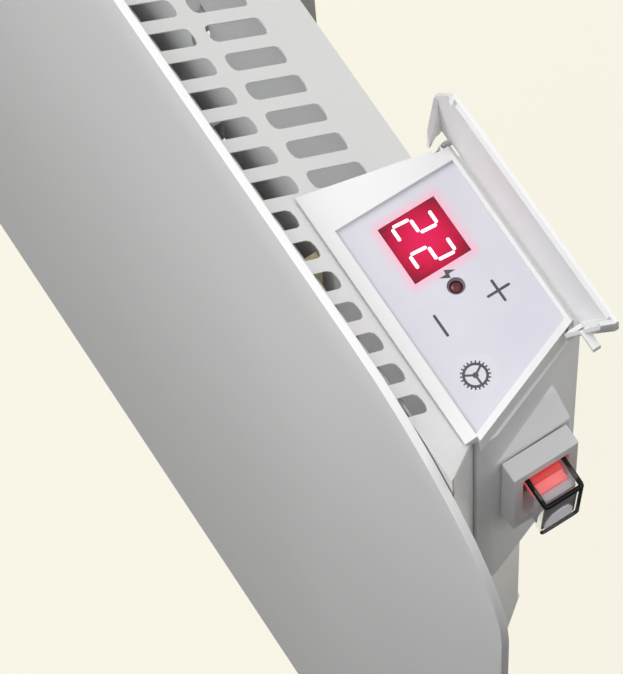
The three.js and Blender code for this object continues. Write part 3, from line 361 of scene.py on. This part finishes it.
def fascia_film(window_low, window_high):
    """Printed polyester film, pale lilac grey, with a painted glow: near its window the film turns
    pink and emits a little red, standing for the display's light falling on it."""
    material, tree, shader, place = new_material("fascia_film")
    middle = (window_low + window_high) / 2
    half = (window_high - window_low) / 2
    shift = add_node(
        tree,
        "ShaderNodeVectorMath",
        [(place, 0)],
        in_1=(middle.x, middle.y, 0),
        operation="SUBTRACT",
    )
    size = add_node(tree, "ShaderNodeVectorMath", [(shift.outputs[0], 0)], operation="ABSOLUTE")
    past = add_node(
        tree,
        "ShaderNodeVectorMath",
        [(size.outputs[0], 0)],
        in_1=(half.x, half.y, 1),
        operation="SUBTRACT",
    )
    clip = add_node(
        tree, "ShaderNodeVectorMath", [(past.outputs[0], 0)], in_1=(0, 0, 0), operation="MAXIMUM"
    )
    far = add_node(tree, "ShaderNodeVectorMath", [(clip.outputs[0], 0)], operation="LENGTH")
    # Painted glow: the display's light on the film is painted as a pink tint and a faint red
    # emission.
    painted_halo = add_node(
        tree,
        "ShaderNodeMapRange",
        [(far.outputs["Value"], "Value")],
        in_From_Max=3.2 * MM,
        in_To_Min=1.0,
        in_To_Max=0.0,
        interpolation_type="SMOOTHERSTEP",
    )
    noise = add_node(
        tree, "ShaderNodeTexNoise", [(place, "Vector")], in_Scale=1 / (20 * MM), in_Detail=2.0
    )
    ramp = add_node(tree, "ShaderNodeValToRGB", [(noise.outputs["Fac"], "Fac")])
    ramp.color_ramp.elements[0].color = linear("#d3d1dc")
    ramp.color_ramp.elements[1].color = linear("#dcdbe4")
    mix = add_node(tree, "ShaderNodeMix", [(painted_halo.outputs[0], 0)], data_type="RGBA")
    tree.links.new(ramp.outputs["Color"], mix.inputs[6])
    mix.inputs[7].default_value = linear("#e8c2d2")
    tree.links.new(mix.outputs[2], shader.inputs["Base Color"])
    # The painted glow's faint red emission.
    glow = add_node(
        tree, "ShaderNodeMath", [(painted_halo.outputs[0], 0)], in_1=0.08, operation="MULTIPLY"
    )
    tree.links.new(glow.outputs[0], shader.inputs["Emission Strength"])
    shader.inputs["Emission Color"].default_value = linear("#ff2d6e")
    grain(tree, shader, place, 0.3, 0.003, (0.32, 0.42))
    return material


def tinted_plastic(name, light, dark, rough, specular=0.5):
    """Moulded nylon or ink in a deep colour: slightly uneven, with a soft gloss that specular
    turns down."""
    material, tree, shader, place = new_material(name)
    tinted(tree, shader, place, light, dark, 6)
    grain(tree, shader, place, 0.4, 0.01, rough)
    shader.inputs["Specular IOR Level"].default_value = specular
    return material


def clear_polycarbonate():
    """Clear moulded polycarbonate of the rocker: glassy, with faint flow lines about 2 mm
    apart."""
    material, tree, shader, place = new_material("clear_polycarbonate")
    stretch = add_node(tree, "ShaderNodeMapping", [(place, "Vector")], in_Scale=(500, 500, 120))
    noise = add_node(
        tree, "ShaderNodeTexNoise", [(stretch.outputs[0], "Vector")], in_Scale=1.0, in_Detail=2.0
    )
    bump = add_node(
        tree,
        "ShaderNodeBump",
        [(noise.outputs["Fac"], "Height")],
        in_Strength=0.3,
        in_Distance=0.00002,
    )
    tree.links.new(bump.outputs["Normal"], shader.inputs["Normal"])
    shader.inputs["Base Color"].default_value = linear("#f4f2f3")
    shader.inputs["Alpha"].default_value = 0.1
    shader.inputs["Specular IOR Level"].default_value = 0.9
    shader.inputs["IOR"].default_value = 1.58
    shader.inputs["Roughness"].default_value = 0.08
    return material


def glowing_plastic(name, light, dark, glow):
    """Translucent red strips inside the rocker, glowing a little, and the painted light of its
    white arch, seen through the clear cap.
    """
    material, tree, shader, place = new_material(name)
    noise = add_node(tree, "ShaderNodeTexNoise", [(place, "Vector")], in_Scale=1 / (3 * MM))
    ramp = add_node(tree, "ShaderNodeValToRGB", [(noise.outputs["Fac"], "Fac")])
    ramp.color_ramp.elements[0].color = linear(dark)
    ramp.color_ramp.elements[1].color = linear(light)
    tree.links.new(ramp.outputs["Color"], shader.inputs["Base Color"])
    tree.links.new(ramp.outputs["Color"], shader.inputs["Emission Color"])
    shader.inputs["Emission Strength"].default_value = glow
    shader.inputs["Roughness"].default_value = 0.3
    return material


def seen_rays(tree):
    """1 for camera, glossy and transmission rays, which see the studio's pale background, and 0
    for the rest."""
    path = add_node(tree, "ShaderNodeLightPath")
    first = add_node(
        tree,
        "ShaderNodeMath",
        [(path.outputs["Is Camera Ray"], 0), (path.outputs["Is Glossy Ray"], 1)],
        operation="MAXIMUM",
    )
    both = [(first.outputs[0], 0), (path.outputs["Is Transmission Ray"], 1)]
    return add_node(tree, "ShaderNodeMath", both, operation="MAXIMUM").outputs[0]


def studio_paper(name, colour, bounce, lit_share=0.2):
    """Matt paper sweep: it shows its own pale colour and a faint shadow, and throws back little
    light."""
    material, tree, shader, _ = new_material(name)
    shader.inputs["Roughness"].default_value = 0.9
    seen = seen_rays(tree)
    paper = linear(colour)
    mix = add_node(tree, "ShaderNodeMix", [(seen, 0)], data_type="RGBA")
    mix.inputs[6].default_value = linear(bounce)
    mix.inputs[7].default_value = (*(part * lit_share for part in paper[:3]), 1.0)
    tree.links.new(mix.outputs[2], shader.inputs["Base Color"])
    own = add_node(tree, "ShaderNodeMath", [(seen, 0)], in_1=1 - lit_share, operation="MULTIPLY")
    tree.links.new(own.outputs[0], shader.inputs["Emission Strength"])
    shader.inputs["Emission Color"].default_value = paper
    shader.inputs["Specular IOR Level"].default_value = 0.0
    return material


# ---- Mesh helpers -------------------------------------------------------------------------


def finished(name, shape, material, body, smooth=35.0, nodes=()):
    """Turns a bmesh into a piece that rides on a body and may stand for CAD nodes."""
    mesh = bpy.data.meshes.new(name)
    shape.to_mesh(mesh)
    shape.free()
    mesh.materials.append(material)
    for face in mesh.polygons:
        face.use_smooth = True
    mesh.set_sharp_from_angle(angle=math.radians(smooth))
    piece = bpy.data.objects.new(name, mesh)
    bpy.context.scene.collection.objects.link(piece)
    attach(piece, body)
    if nodes:
        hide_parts(*nodes)
    return piece


def body_holding(node):
    """Name of the body that a CAD node belongs to."""
    for body, nodes in frame["record"]["behaviour"]["bodies"].items():
        if node in nodes:
            return body
    raise RuntimeError("no body holds " + node)


def slot_holding(node):
    """Material slot of a CAD node."""
    return next(
        part["material_slot"] for part in frame["record"]["subparts"] if part["node"] == node
    )


def rounded(node, material, radius, segments=3, sharp=28.0, flat=0.6):
    """A CAD node's own shape with its sharp edges rounded by a radius in millimetres."""
    shape = bmesh.new()
    shape.from_mesh(frame["nodes"][node].data)
    bmesh.ops.remove_doubles(shape, verts=shape.verts, dist=0.000004)
    bmesh.ops.dissolve_limit(
        shape, angle_limit=math.radians(flat), verts=shape.verts, edges=shape.edges
    )
    edges = [e for e in shape.edges if e.is_manifold and e.calc_face_angle() > math.radians(sharp)]
    bmesh.ops.bevel(
        shape,
        geom=edges,
        offset=radius * MM,
        offset_type="OFFSET",
        segments=segments,
        profile=0.5,
        affect="EDGES",
        clamp_overlap=True,
        material=-1,
    )
    piece = finished(
        node + "_finish", shape, material, body_holding(node), 40.0, (node,)
    )
    if flat > 0.1:
        weighted = piece.modifiers.new("Weighted Normal", "WEIGHTED_NORMAL")
        weighted.keep_sharp = True
    return piece


def spread_flat(piece, margin):
    """Grows a flat piece sideways by a margin on every side, about its own middle."""
    corners = [vertex.co.copy() for vertex in piece.data.vertices]
    for axis in (0, 1):
        low, high = min(c[axis] for c in corners), max(c[axis] for c in corners)
        middle, reach = (low + high) / 2, (high - low) / 2
        for vertex in piece.data.vertices:
            vertex.co[axis] = middle + (vertex.co[axis] - middle) * (reach + margin) / reach


def block(low, high, radius, segments=3):
    """A box between two corners with rounded edges, as a bmesh."""
    shape = bmesh.new()
    size = high - low
    place = Matrix.Translation((low + high) / 2) @ Matrix.Diagonal((size.x, size.y, size.z, 1))
    bmesh.ops.create_cube(shape, size=1.0, matrix=place)
    if radius:
        bmesh.ops.bevel(
            shape,
            geom=shape.edges[:],
            offset=radius * MM,
            offset_type="OFFSET",
            segments=segments,
            profile=0.5,
            affect="EDGES",
            clamp_overlap=True,
            material=-1,
        )
    return shape


def raised_face(points, shift):
    """A flat face through points, raised by a shift into a closed bmesh."""
    shape = bmesh.new()
    base = shape.faces.new([shape.verts.new(point) for point in points])
    raised = bmesh.ops.extrude_face_region(shape, geom=[base])
    lifted = [v for v in raised["geom"] if isinstance(v, bmesh.types.BMVert)]
    bmesh.ops.translate(shape, verts=lifted, vec=shift)
    bmesh.ops.recalc_face_normals(shape, faces=shape.faces)
    return shape


def prism(outline, z0, z1):
    """An outline of (x, y) points raised from z0 to z1, as a bmesh."""
    return raised_face([(x, y, z0) for x, y in outline], (0, 0, z1 - z0))


def gathered(shapes):
    """Several bmeshes as one."""
    whole = bmesh.new()
    for shape in shapes:
        step = bpy.data.meshes.new("step")
        shape.to_mesh(step)
        shape.free()
        whole.from_mesh(step)
        bpy.data.meshes.remove(step)
    return whole


# ---- Settings a user can change -----------------------------------------------------------


class HeaterFinish(bpy.types.PropertyGroup):
    """Edge rounding and the sizes of the printed and lit marks."""

    plastic_edge: bpy.props.FloatProperty(
        name="Plastic edge",
        description="Radius on the moulded parts' edges, mm",
        default=0.45,
        min=0.0,
        max=2.0,
    )
    sheet_edge: bpy.props.FloatProperty(
        name="Sheet edge",
        description="Radius on the sheet parts' cut edges, mm",
        default=0.2,
        min=0.0,
        max=0.4,
    )
    digit_height: bpy.props.FloatProperty(
        name="Digit height",
        description="Height between the digits' end bars",
        default=0.00908,
        unit="LENGTH",
    )
    digit_stroke: bpy.props.FloatProperty(
        name="Digit stroke", description="Width of a lit bar", default=0.0008, unit="LENGTH"
    )
    mark_stroke: bpy.props.FloatProperty(
        name="Mark stroke",
        description="Width of the printed lines on the keys",
        default=0.00064,
        unit="LENGTH",
    )


class HeaterStage(bpy.types.PropertyGroup):
    """Floor, lamps and camera."""

    paper: bpy.props.StringProperty(
        name="Paper", description="Colour of the sweep, sRGB hex", default="#f9f6e7"
    )
    key_power: bpy.props.FloatProperty(
        name="Key strength",
        description="Strength of the broad light from the upper left",
        default=1.75,
        min=0.0,
    )
    top_power: bpy.props.FloatProperty(
        name="Top strength",
        description="Strength of the wide light from above",
        default=0.5,
        min=0.0,
    )
    duct_power: bpy.props.FloatProperty(
        name="Duct power",
        description="Power of the lights inside the casing",
        default=0.07,
        unit="POWER",
    )
    fill_power: bpy.props.FloatProperty(
        name="Fill power", description="Power of the lamp low in front", default=0.6, unit="POWER"
    )
    sky: bpy.props.FloatProperty(
        name="Sky", description="Even light from all round", default=0.7, min=0.0
    )
    floor_level: bpy.props.FloatProperty(
        name="Floor level",
        description="Height of the floor below the heater's middle",
        default=-0.5,
        unit="LENGTH",
    )


# ---- Pieces ------------------------------------------------------------------------------


def make_finishes():
    """One material for each slot of the record."""
    low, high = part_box("display_window")
    window = (low + high) / 2
    half = (high - low) / 2
    return {
        "enamel": powder_coat("white_enamel", "#f3f3f3", "#f1f1f1", (0.32, 0.4)),
        "galvanised": galvanised_sheet(),
        "white_plastic": moulded_abs("white_abs", "#eeeeef", "#ebebec", (0.4, 0.5)),
        "key_plastic": moulded_abs("key_abs", "#dcdbe4", "#d6d5de", (0.3, 0.4)),
        "fascia_film": fascia_film(low, high),
        "red_filter": display_glow(window, half),
        "dark_plastic": tinted_plastic("black_nylon", "#232324", "#1a1a1b", (0.3, 0.45)),
        "clear_plastic": clear_polycarbonate(),
        "lamp_red": tinted_plastic("lamp_red_epoxy", "#6a2030", "#4c1420", (0.12, 0.2)),
        "board_green": circuit_laminate(),
        "aluminium": cast_aluminium(),
        "mica": insulating_board(),
        "zinc_steel": bright_zinc(),
        "grey_plastic": moulded_abs("grey_nylon", "#b9bbbd", "#b0b2b4", (0.4, 0.5)),
    }


class HEATER_OT_finishes(bpy.types.Operator):
    """Gives every CAD node the finish of its own slot."""

    bl_idname = "heater.finishes"
    bl_label = "Finish the nodes"

    def execute(self, context):
        finishes = make_finishes()
        for name, node in frame["nodes"].items():
            if not node.material_slots:
                raise RuntimeError("a node has no material slot: " + name)
            for place in node.material_slots:
                place.material = finishes[slot_holding(name)]
        return {"FINISHED"}


def bar(start, end, width, z0, z1, ends=6):
    """A bar with round ends between two (x, y) points."""
    along = (end - start).normalized()
    turn = math.atan2(along.y, along.x)
    outline = []
    for centre, first in ((end, -math.pi / 2), (start, math.pi / 2)):
        for i in range(ends + 1):
            angle = turn + first + math.pi * i / ends
            outline.append(
                (centre.x + math.cos(angle) * width / 2, centre.y + math.sin(angle) * width / 2)
            )
    return prism(outline, z0, z1)


def digit_two(centre, height, stroke, z0, z1):
    """The figure 2 in seven-bar form, leaning a little to its right."""
    half, across, gap = height / 2, height * 0.215, stroke * 0.85
    bars = [
        ((-across + gap, half), (across - gap, half)),
        ((across, half - gap), (across, gap)),
        ((across - gap, 0), (-across + gap, 0)),
        ((-across, -gap), (-across, -half + gap)),
        ((-across + gap, -half), (across - gap, -half)),
    ]
    shapes = []
    for start, end in bars:
        ends = [Vector((centre.x + x + DIGIT_LEAN * y, centre.y + y)) for x, y in (start, end)]
        shapes.append(bar(*ends, stroke, z0, z1))
    return shapes


def ring(centre, outer, inner, z0, z1, count=48):
    """A flat ring with square edges."""
    shape = bmesh.new()
    loops = []
    for radius, z in ((inner, z0), (outer, z0), (outer, z1), (inner, z1)):
        loops.append(
            [
                shape.verts.new(
                    (
                        centre.x + math.cos(math.tau * i / count) * radius,
                        centre.y + math.sin(math.tau * i / count) * radius,
                        z,
                    )
                )
                for i in range(count)
            ]
        )
    for k in range(4):
        a, b = loops[k], loops[(k + 1) % 4]
        for i in range(count):
            j = (i + 1) % count
            shape.faces.new((a[i], a[j], b[j], b[i]))
    bmesh.ops.recalc_face_normals(shape, faces=shape.faces)
    return shape


def centre_of(node):
    """Middle of a CAD node's box, and the height of its top."""
    low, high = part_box(node)
    return Vector(((low.x + high.x) / 2, (low.y + high.y) / 2)), high.z


class HEATER_OT_display(bpy.types.Operator):
    """Lit figures on the red window."""

    bl_idname = "heater.display"
    bl_label = "Make the lit figures"

    def execute(self, context):
        finish = context.scene.heater_finish
        middle, top = centre_of("display_window")
        shapes = []
        for offset in DIGIT_PLACES:
            place = middle + Vector(offset) * MM
            shapes += digit_two(
                place, finish.digit_height, finish.digit_stroke, top - 0.02 * MM, top + 0.03 * MM
            )
        finished("lit_figures", gathered(shapes), lit_segment(), "heater")
        return {"FINISHED"}


class HEATER_OT_marks(bpy.types.Operator):
    """Printed plus, minus, gear wheel and power marks."""

    bl_idname = "heater.marks"
    bl_label = "Print the marks"

    def execute(self, context):
        stroke = context.scene.heater_finish.mark_stroke
        ink = tinted_plastic("screen_ink", "#54525a", "#46444c", (0.5, 0.6))
        across = ((-SIGN_REACH, 0), (SIGN_REACH, 0))
        upright = ((0, -SIGN_REACH), (0, SIGN_REACH))
        for node, body, lines in (
            ("plus_button", "plus_key", (across, upright)),
            ("minus_button", "minus_key", (across,)),
        ):
            middle, top = centre_of(node)
            shapes = []
            for i, (start, end) in enumerate(lines):
                lift = 0.004 * i * MM
                ends = [middle + Vector(start) * MM, middle + Vector(end) * MM]
                shapes.append(bar(*ends, stroke, top - INK_SUNK * MM, top + INK_PROUD * MM + lift))
            finished(node + "_mark", gathered(shapes), ink, body)
        middle, top = centre_of("settings_button")
        z0, z1 = top - INK_SUNK * MM, top + INK_PROUD * MM
        hub = Vector((0.02 * MM, 0))
        shapes = [
            ring(middle, GEAR_OUTER * MM, GEAR_INNER * MM, z0, z1),
            bar(middle - hub, middle + hub, GEAR_HUB_WIDTH * MM, z0, z1 + 0.003 * MM),
        ]
        for count, start, end, width, lift in (
            (TOOTH_COUNT, TOOTH_START, TOOTH_END, TOOTH_WIDTH, 0.001),
            (SPOKE_COUNT, SPOKE_START, SPOKE_END, SPOKE_WIDTH, 0.002),
        ):
            for i in range(count):
                angle = math.tau * i / count
                out = Vector((math.cos(angle), math.sin(angle)))
                ends = (middle + out * start * MM, middle + out * end * MM)
                shapes.append(bar(*ends, width * MM, z0, z1 + lift * MM, 2))
        finished("settings_mark", gathered(shapes), ink, "settings_key")
        middle, top = centre_of("display_window")
        place = middle + Vector(BOLT_PLACE) * MM
        points = [(place.x + x * MM, place.y + y * MM) for x, y in BOLT_OUTLINE]
        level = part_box("fascia")[1].z
        bolt = prism(points, level - INK_SUNK * MM, level + INK_PROUD * MM)
        finished("power_mark", bolt, ink, "heater")
        return {"FINISHED"}


class HEATER_OT_keys(bpy.types.Operator):
    """Film that closes the gap round each key and the lamp."""

    bl_idname = "heater.keys"
    bl_label = "Close the gaps round the keys"

    def execute(self, context):
        film = frame["nodes"]["fascia"].material_slots[0].material
        for node in ("plus_button", "minus_button", "settings_button"):
            low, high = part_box(node)
            middle = Vector(((low.x + high.x) / 2, (low.y + high.y) / 2))
            radius = (high.x - low.x) / 2
            outer, inner = radius + SEAL_OUTSIDE * MM, radius - SEAL_INSIDE * MM
            shape = ring(
                middle, outer, inner, high.z - SEAL_DEPTH * MM, high.z - SEAL_BELOW * MM, 64
            )
            finished(node + "_seal", shape, film, "heater")
        collar = tinted_plastic("lamp_collar", "#7d757f", "#6a636d", (0.4, 0.5))
        middle, top = centre_of("indicator_lamp")
        levels = (top - COLLAR_DEPTH * MM, top - COLLAR_BELOW * MM)
        shape = ring(middle, COLLAR_OUTER * MM, COLLAR_INNER * MM, *levels)
        finished("lamp_collar", shape, collar, "heater")
        return {"FINISHED"}


def tilted(shape):
    """Turns a bmesh made for an upright rocker to the rocker's place at rest."""
    pivot = Vector(ROCKER_PIVOT) * MM
    tilt = Matrix.Rotation(math.radians(ROCKER_TILT), 4, "Y")
    turn = Matrix.Translation(pivot) @ tilt @ Matrix.Translation(-pivot)
    bmesh.ops.transform(shape, matrix=turn, verts=shape.verts)
    return shape


def rod(points, radius, count=10):
    """A round rod along a chain of points, with mitred corners and closed ends."""
    shape = bmesh.new()
    loops = []
    for i, point in enumerate(points):
        before = (point - points[i - 1]).normalized() if i else None
        after = (points[i + 1] - point).normalized() if i + 1 < len(points) else None
        along = ((before or after) + (after or before)).normalized()
        stretch = 1 / max(0.5, along.dot(after or before))
        side = (along.orthogonal() if not i else side - along * side.dot(along)).normalized()
        other = along.cross(side)
        loops.append(
            [
                shape.verts.new(
                    point
                    + (
                        side * math.cos(math.tau * k / count)
                        + other * math.sin(math.tau * k / count)
                    )
                    * radius
                    * min(stretch, 1.2)
                )
                for k in range(count)
            ]
        )
    for a, b in zip(loops, loops[1:]):
        for k in range(count):
            j = (k + 1) % count
            shape.faces.new((a[k], a[j], b[j], b[k]))
    shape.faces.new(reversed(loops[0]))
    shape.faces.new(loops[-1])
    bmesh.ops.recalc_face_normals(shape, faces=shape.faces)
    return shape


class HEATER_OT_rocker(bpy.types.Operator):
    """Clear rocker with black edge lines, red insert, and painted highlights, painted shade and a
    painted light arch under its cap.
    """

    bl_idname = "heater.rocker"
    bl_label = "Dress the rocker"

    def execute(self, context):
        clear = frame["nodes"]["rocker"].material_slots[0].material
        rounded("rocker", clear, 0.5)
        black = tinted_plastic("rocker_black_line", "#101011", "#0a0a0b", (0.3, 0.4), 0.2)
        dark = glowing_plastic("deep_red_polycarbonate", "#d00408", "#b80206", 0.6)
        pale = glowing_plastic("pale_red_polycarbonate", "#fa6a6e", "#f25a60", 0.45)
        # Painted light: the glowing material of the white arch in the rocker's face.
        white = glowing_plastic("white_diffuser", "#f0edf2", "#e8e5ea", 0.2)
        # Painted highlights: two white strips under the clear cap stand for light caught in the
        # cap's edges.
        painted_highlight = moulded_abs("rocker_rim_light", "#e4e1e6", "#dcd9de", (0.2, 0.3))
        # Painted shade: a grey plate just inside the clear face stands for the shade seen on the
        # rocker's face.
        face_shade = tinted_plastic("smoke_backing", "#7b7980", "#66646b", (0.3, 0.4))
        for name, low, high, radius, material, slot in (
            (
                "rocker_insert",
                (267.6, -49.4, 129.5),
                (278.2, -41.9, 138.3),
                0.3,
                pale,
                "red_filter",
            ),
            (
                "rocker_insert_top",
                (268.0, -49.4, 138.34),
                (275.9, -41.9, 139.6),
                0.2,
                dark,
                "red_filter",
            ),
            # Painted highlight along the top's outer edge.
            (
                "rocker_light_band",
                (278.6, -49.4, 137.6),
                (280.6, -41.4, 138.6),
                0.15,
                painted_highlight,
                "clear_plastic",
            ),
            # Painted highlight down the front edge, next to the face.
            (
                "rocker_side_light",
                (277.4, -50.2, 119.0),
                (279.3, -49.9, 137.5),
                0.05,
                painted_highlight,
                "clear_plastic",
            ),
            # Painted shade on the rocker's face.
            (
                "rocker_backing",
                (280.75, -49.9, 118.3),
                (281.2, -41.1, 137.4),
                0.1,
                face_shade,
                "clear_plastic",
            ),
        ):
            shape = block(Vector(low) * MM, Vector(high) * MM, radius)
            finished(name, tilted(shape), material, "rocker")
        face, inner, front, back = ROCKER_FACE, ROCKER_INNER, ROCKER_FRONT, ROCKER_BACK
        top, foot = ROCKER_TOP, ROCKER_FOOT
        round_the_top = (
            (inner, front, top),
            (face - 0.7, front, top),
            (face - 0.2, front + 0.15, top - 0.1),
            (face, front + 0.6, top - 0.1),
            (face, back - 0.6, top - 0.1),
            (face - 0.2, back - 0.15, top - 0.1),
            (face - 0.7, back, top),
            (inner, back, top),
        )
        down_the_face = (
            (face - 0.1, back, top - 0.2),
            (face - 0.1, back, foot + 0.9),
            (face - 0.1, back - 0.3, foot + 0.3),
            (face - 0.1, back - 0.9, foot),
            (face - 0.1, front + 0.9, foot),
            (face - 0.1, front + 0.3, foot + 0.3),
            (face - 0.1, front, foot + 0.9),
        )
        for name, corners, radius in (
            ("rocker_top_line", round_the_top, TOP_LINE_RADIUS),
            ("rocker_face_line", down_the_face, FACE_LINE_RADIUS),
        ):
            edge = rod([Vector(corner) * MM for corner in corners], radius * MM)
            finished(name, tilted(edge), black, "rocker", 60.0)
        # Painted light: a glowing white arch just inside the face stands for light seen in the
        # clear face, not for a part of the switch.
        points = [(ARCH_PLACE * MM, y * MM, z * MM) for y, z in ARCH_OUTLINE]
        arch = raised_face(points, (ARCH_THICKNESS * MM, 0, 0))
        finished("rocker_arch", tilted(arch), white, "rocker")
        return {"FINISHED"}


class HEATER_OT_mouldings(bpy.types.Operator):
    """Rounded edges on the moulded parts."""

    bl_idname = "heater.mouldings"
    bl_label = "Round the mouldings"

    def execute(self, context):
        edge = context.scene.heater_finish.plastic_edge
        for node, share in (
            ("control_frame", 1.0),
            ("control_housing", 1.0),
            ("lid", 0.6),
            ("switch_bezel", 0.8),
            ("fascia", 0.12),
            ("display_window", 0.1),
            ("cord_inlet", 1.0),
            ("bracket_catch", 0.8),
        ):
            piece = rounded(node, frame["nodes"][node].material_slots[0].material, edge * share)
            if node == "fascia":
                spread_flat(piece, FASCIA_MARGIN * MM)
        return {"FINISHED"}


class HEATER_OT_sheets(bpy.types.Operator):
    """Soft cut edges and even shading on the enamelled sheets."""

    bl_idname = "heater.sheets"
    bl_label = "Soften the sheets"

    def execute(self, context):
        edge = context.scene.heater_finish.sheet_edge
        enamel = frame["nodes"]["front_panel"].material_slots[0].material
        rounded("front_panel", enamel, edge * 3, 4, 28.0, 0.02)
        for node in ("outlet_grille", "front_plate", "end_plate_left", "end_plate_right"):
            rounded(node, frame["nodes"][node].material_slots[0].material, edge, 2)
        return {"FINISHED"}


def staged(name, shape, material):
    """Turns a bmesh into a thing of the studio, which isn't part of the heater."""
    mesh = bpy.data.meshes.new(name)
    shape.to_mesh(mesh)
    shape.free()
    mesh.materials.append(material)
    thing = bpy.data.objects.new(name, mesh)
    bpy.context.scene.collection.objects.link(thing)
    return thing


class HEATER_OT_stage(bpy.types.Operator):
    """Floor, black cards, lamps, sky and the camera at the photograph's place."""

    bl_idname = "heater.stage"
    bl_label = "Set the stage"

    def execute(self, context):
        scene = context.scene
        stage = scene.heater_stage
        floor_shape = bmesh.new()
        level = Matrix.Translation((0, 0, stage.floor_level))
        bmesh.ops.create_grid(floor_shape, x_segments=1, y_segments=1, size=8, matrix=level)
        staged("floor", floor_shape, studio_paper("studio_paper", stage.paper, "#3a3a3a"))
        black = tinted_plastic("black_flag_card", "#1c1c1c", "#161616", (0.8, 0.9))
        for name, low, high, seen_by_diffuse in CARDS:
            card = staged(name, block(Vector(low), Vector(high), 0), black)
            card.visible_camera = False
            card.visible_shadow = False
            card.visible_diffuse = seen_by_diffuse
        for name, setting, share, place, aim, size in AREA_LAMPS:
            data = bpy.data.lights.new(name, "AREA")
            data.energy = getattr(stage, setting) * share
            data.shape = "RECTANGLE"
            data.size, data.size_y = size
            lamp = bpy.data.objects.new(name, data)
            lamp.location = place
            lamp.visible_camera = False
            lamp.rotation_euler = (Vector(aim) - Vector(place)).to_track_quat("-Z", "Y").to_euler()
            scene.collection.objects.link(lamp)
        for name, setting, heading, spread in SUNS:
            data = bpy.data.lights.new(name, "SUN")
            data.energy = getattr(stage, setting)
            data.angle = math.radians(spread)
            lamp = bpy.data.objects.new(name, data)
            lamp.rotation_euler = Vector(heading).to_track_quat("-Z", "Y").to_euler()
            scene.collection.objects.link(lamp)
        world = bpy.data.worlds.new("sky")
        world.use_nodes = True
        background = world.node_tree.nodes["Background"]
        background.inputs["Color"].default_value = linear(stage.paper)
        lit = add_node(world.node_tree, "ShaderNodeBackground", in_Strength=stage.sky)
        mix = add_node(
            world.node_tree,
            "ShaderNodeMixShader",
            [(seen_rays(world.node_tree), 0), (lit.outputs[0], 1), (background.outputs[0], 2)],
        )
        world.node_tree.links.new(mix.outputs[0], world.node_tree.nodes["World Output"].inputs[0])
        scene.world = world
        scene.view_settings.view_transform = "Standard"
        data = bpy.data.cameras.new("camera")
        data.lens = CAMERA_LENS
        data.sensor_width = SENSOR_WIDTH
        data.clip_end = CAMERA_FAR
        camera = bpy.data.objects.new("camera", data)
        right = Vector(CAMERA_RIGHT).normalized()
        back = Vector(CAMERA_BACK).normalized()
        up = back.cross(right).normalized()
        right = up.cross(back)
        turn = Matrix((right, up, back)).transposed().to_4x4()
        camera.matrix_world = Matrix.Translation(CAMERA_PLACE) @ turn
        scene.collection.objects.link(camera)
        scene.camera = camera
        return {"FINISHED"}


class HEATER_PT_panel(bpy.types.Panel):
    """The heater's settings and the steps that build it."""

    bl_idname = "HEATER_PT_panel"
    bl_label = "Convector heater"
    bl_space_type = "VIEW_3D"
    bl_region_type = "UI"
    bl_category = "Heater"

    def draw(self, context):
        column = self.layout.column()
        for group in (context.scene.heater_finish, context.scene.heater_stage):
            for name in group.bl_rna.properties.keys():
                if name not in ("rna_type", "name"):
                    column.prop(group, name)
        for step in STEPS:
            column.operator(step.bl_idname)


STEPS = (
    HEATER_OT_finishes,
    HEATER_OT_mouldings,
    HEATER_OT_sheets,
    HEATER_OT_keys,
    HEATER_OT_rocker,
    HEATER_OT_display,
    HEATER_OT_marks,
    HEATER_OT_stage,
)
CLASSES = (HeaterFinish, HeaterStage, *STEPS, HEATER_PT_panel)


def register():
    for cls in CLASSES:
        bpy.utils.register_class(cls)
    bpy.types.Scene.heater_finish = bpy.props.PointerProperty(type=HeaterFinish)
    bpy.types.Scene.heater_stage = bpy.props.PointerProperty(type=HeaterStage)


def unregister():
    del bpy.types.Scene.heater_stage
    del bpy.types.Scene.heater_finish
    for cls in reversed(CLASSES):
        bpy.utils.unregister_class(cls)


def main():
    register()
    bpy.ops.heater.finishes()
    bpy.ops.heater.mouldings()
    bpy.ops.heater.sheets()
    bpy.ops.heater.keys()
    bpy.ops.heater.rocker()
    bpy.ops.heater.display()
    bpy.ops.heater.marks()
    bpy.ops.heater.stage()


if __name__ == "__main__":
    main()
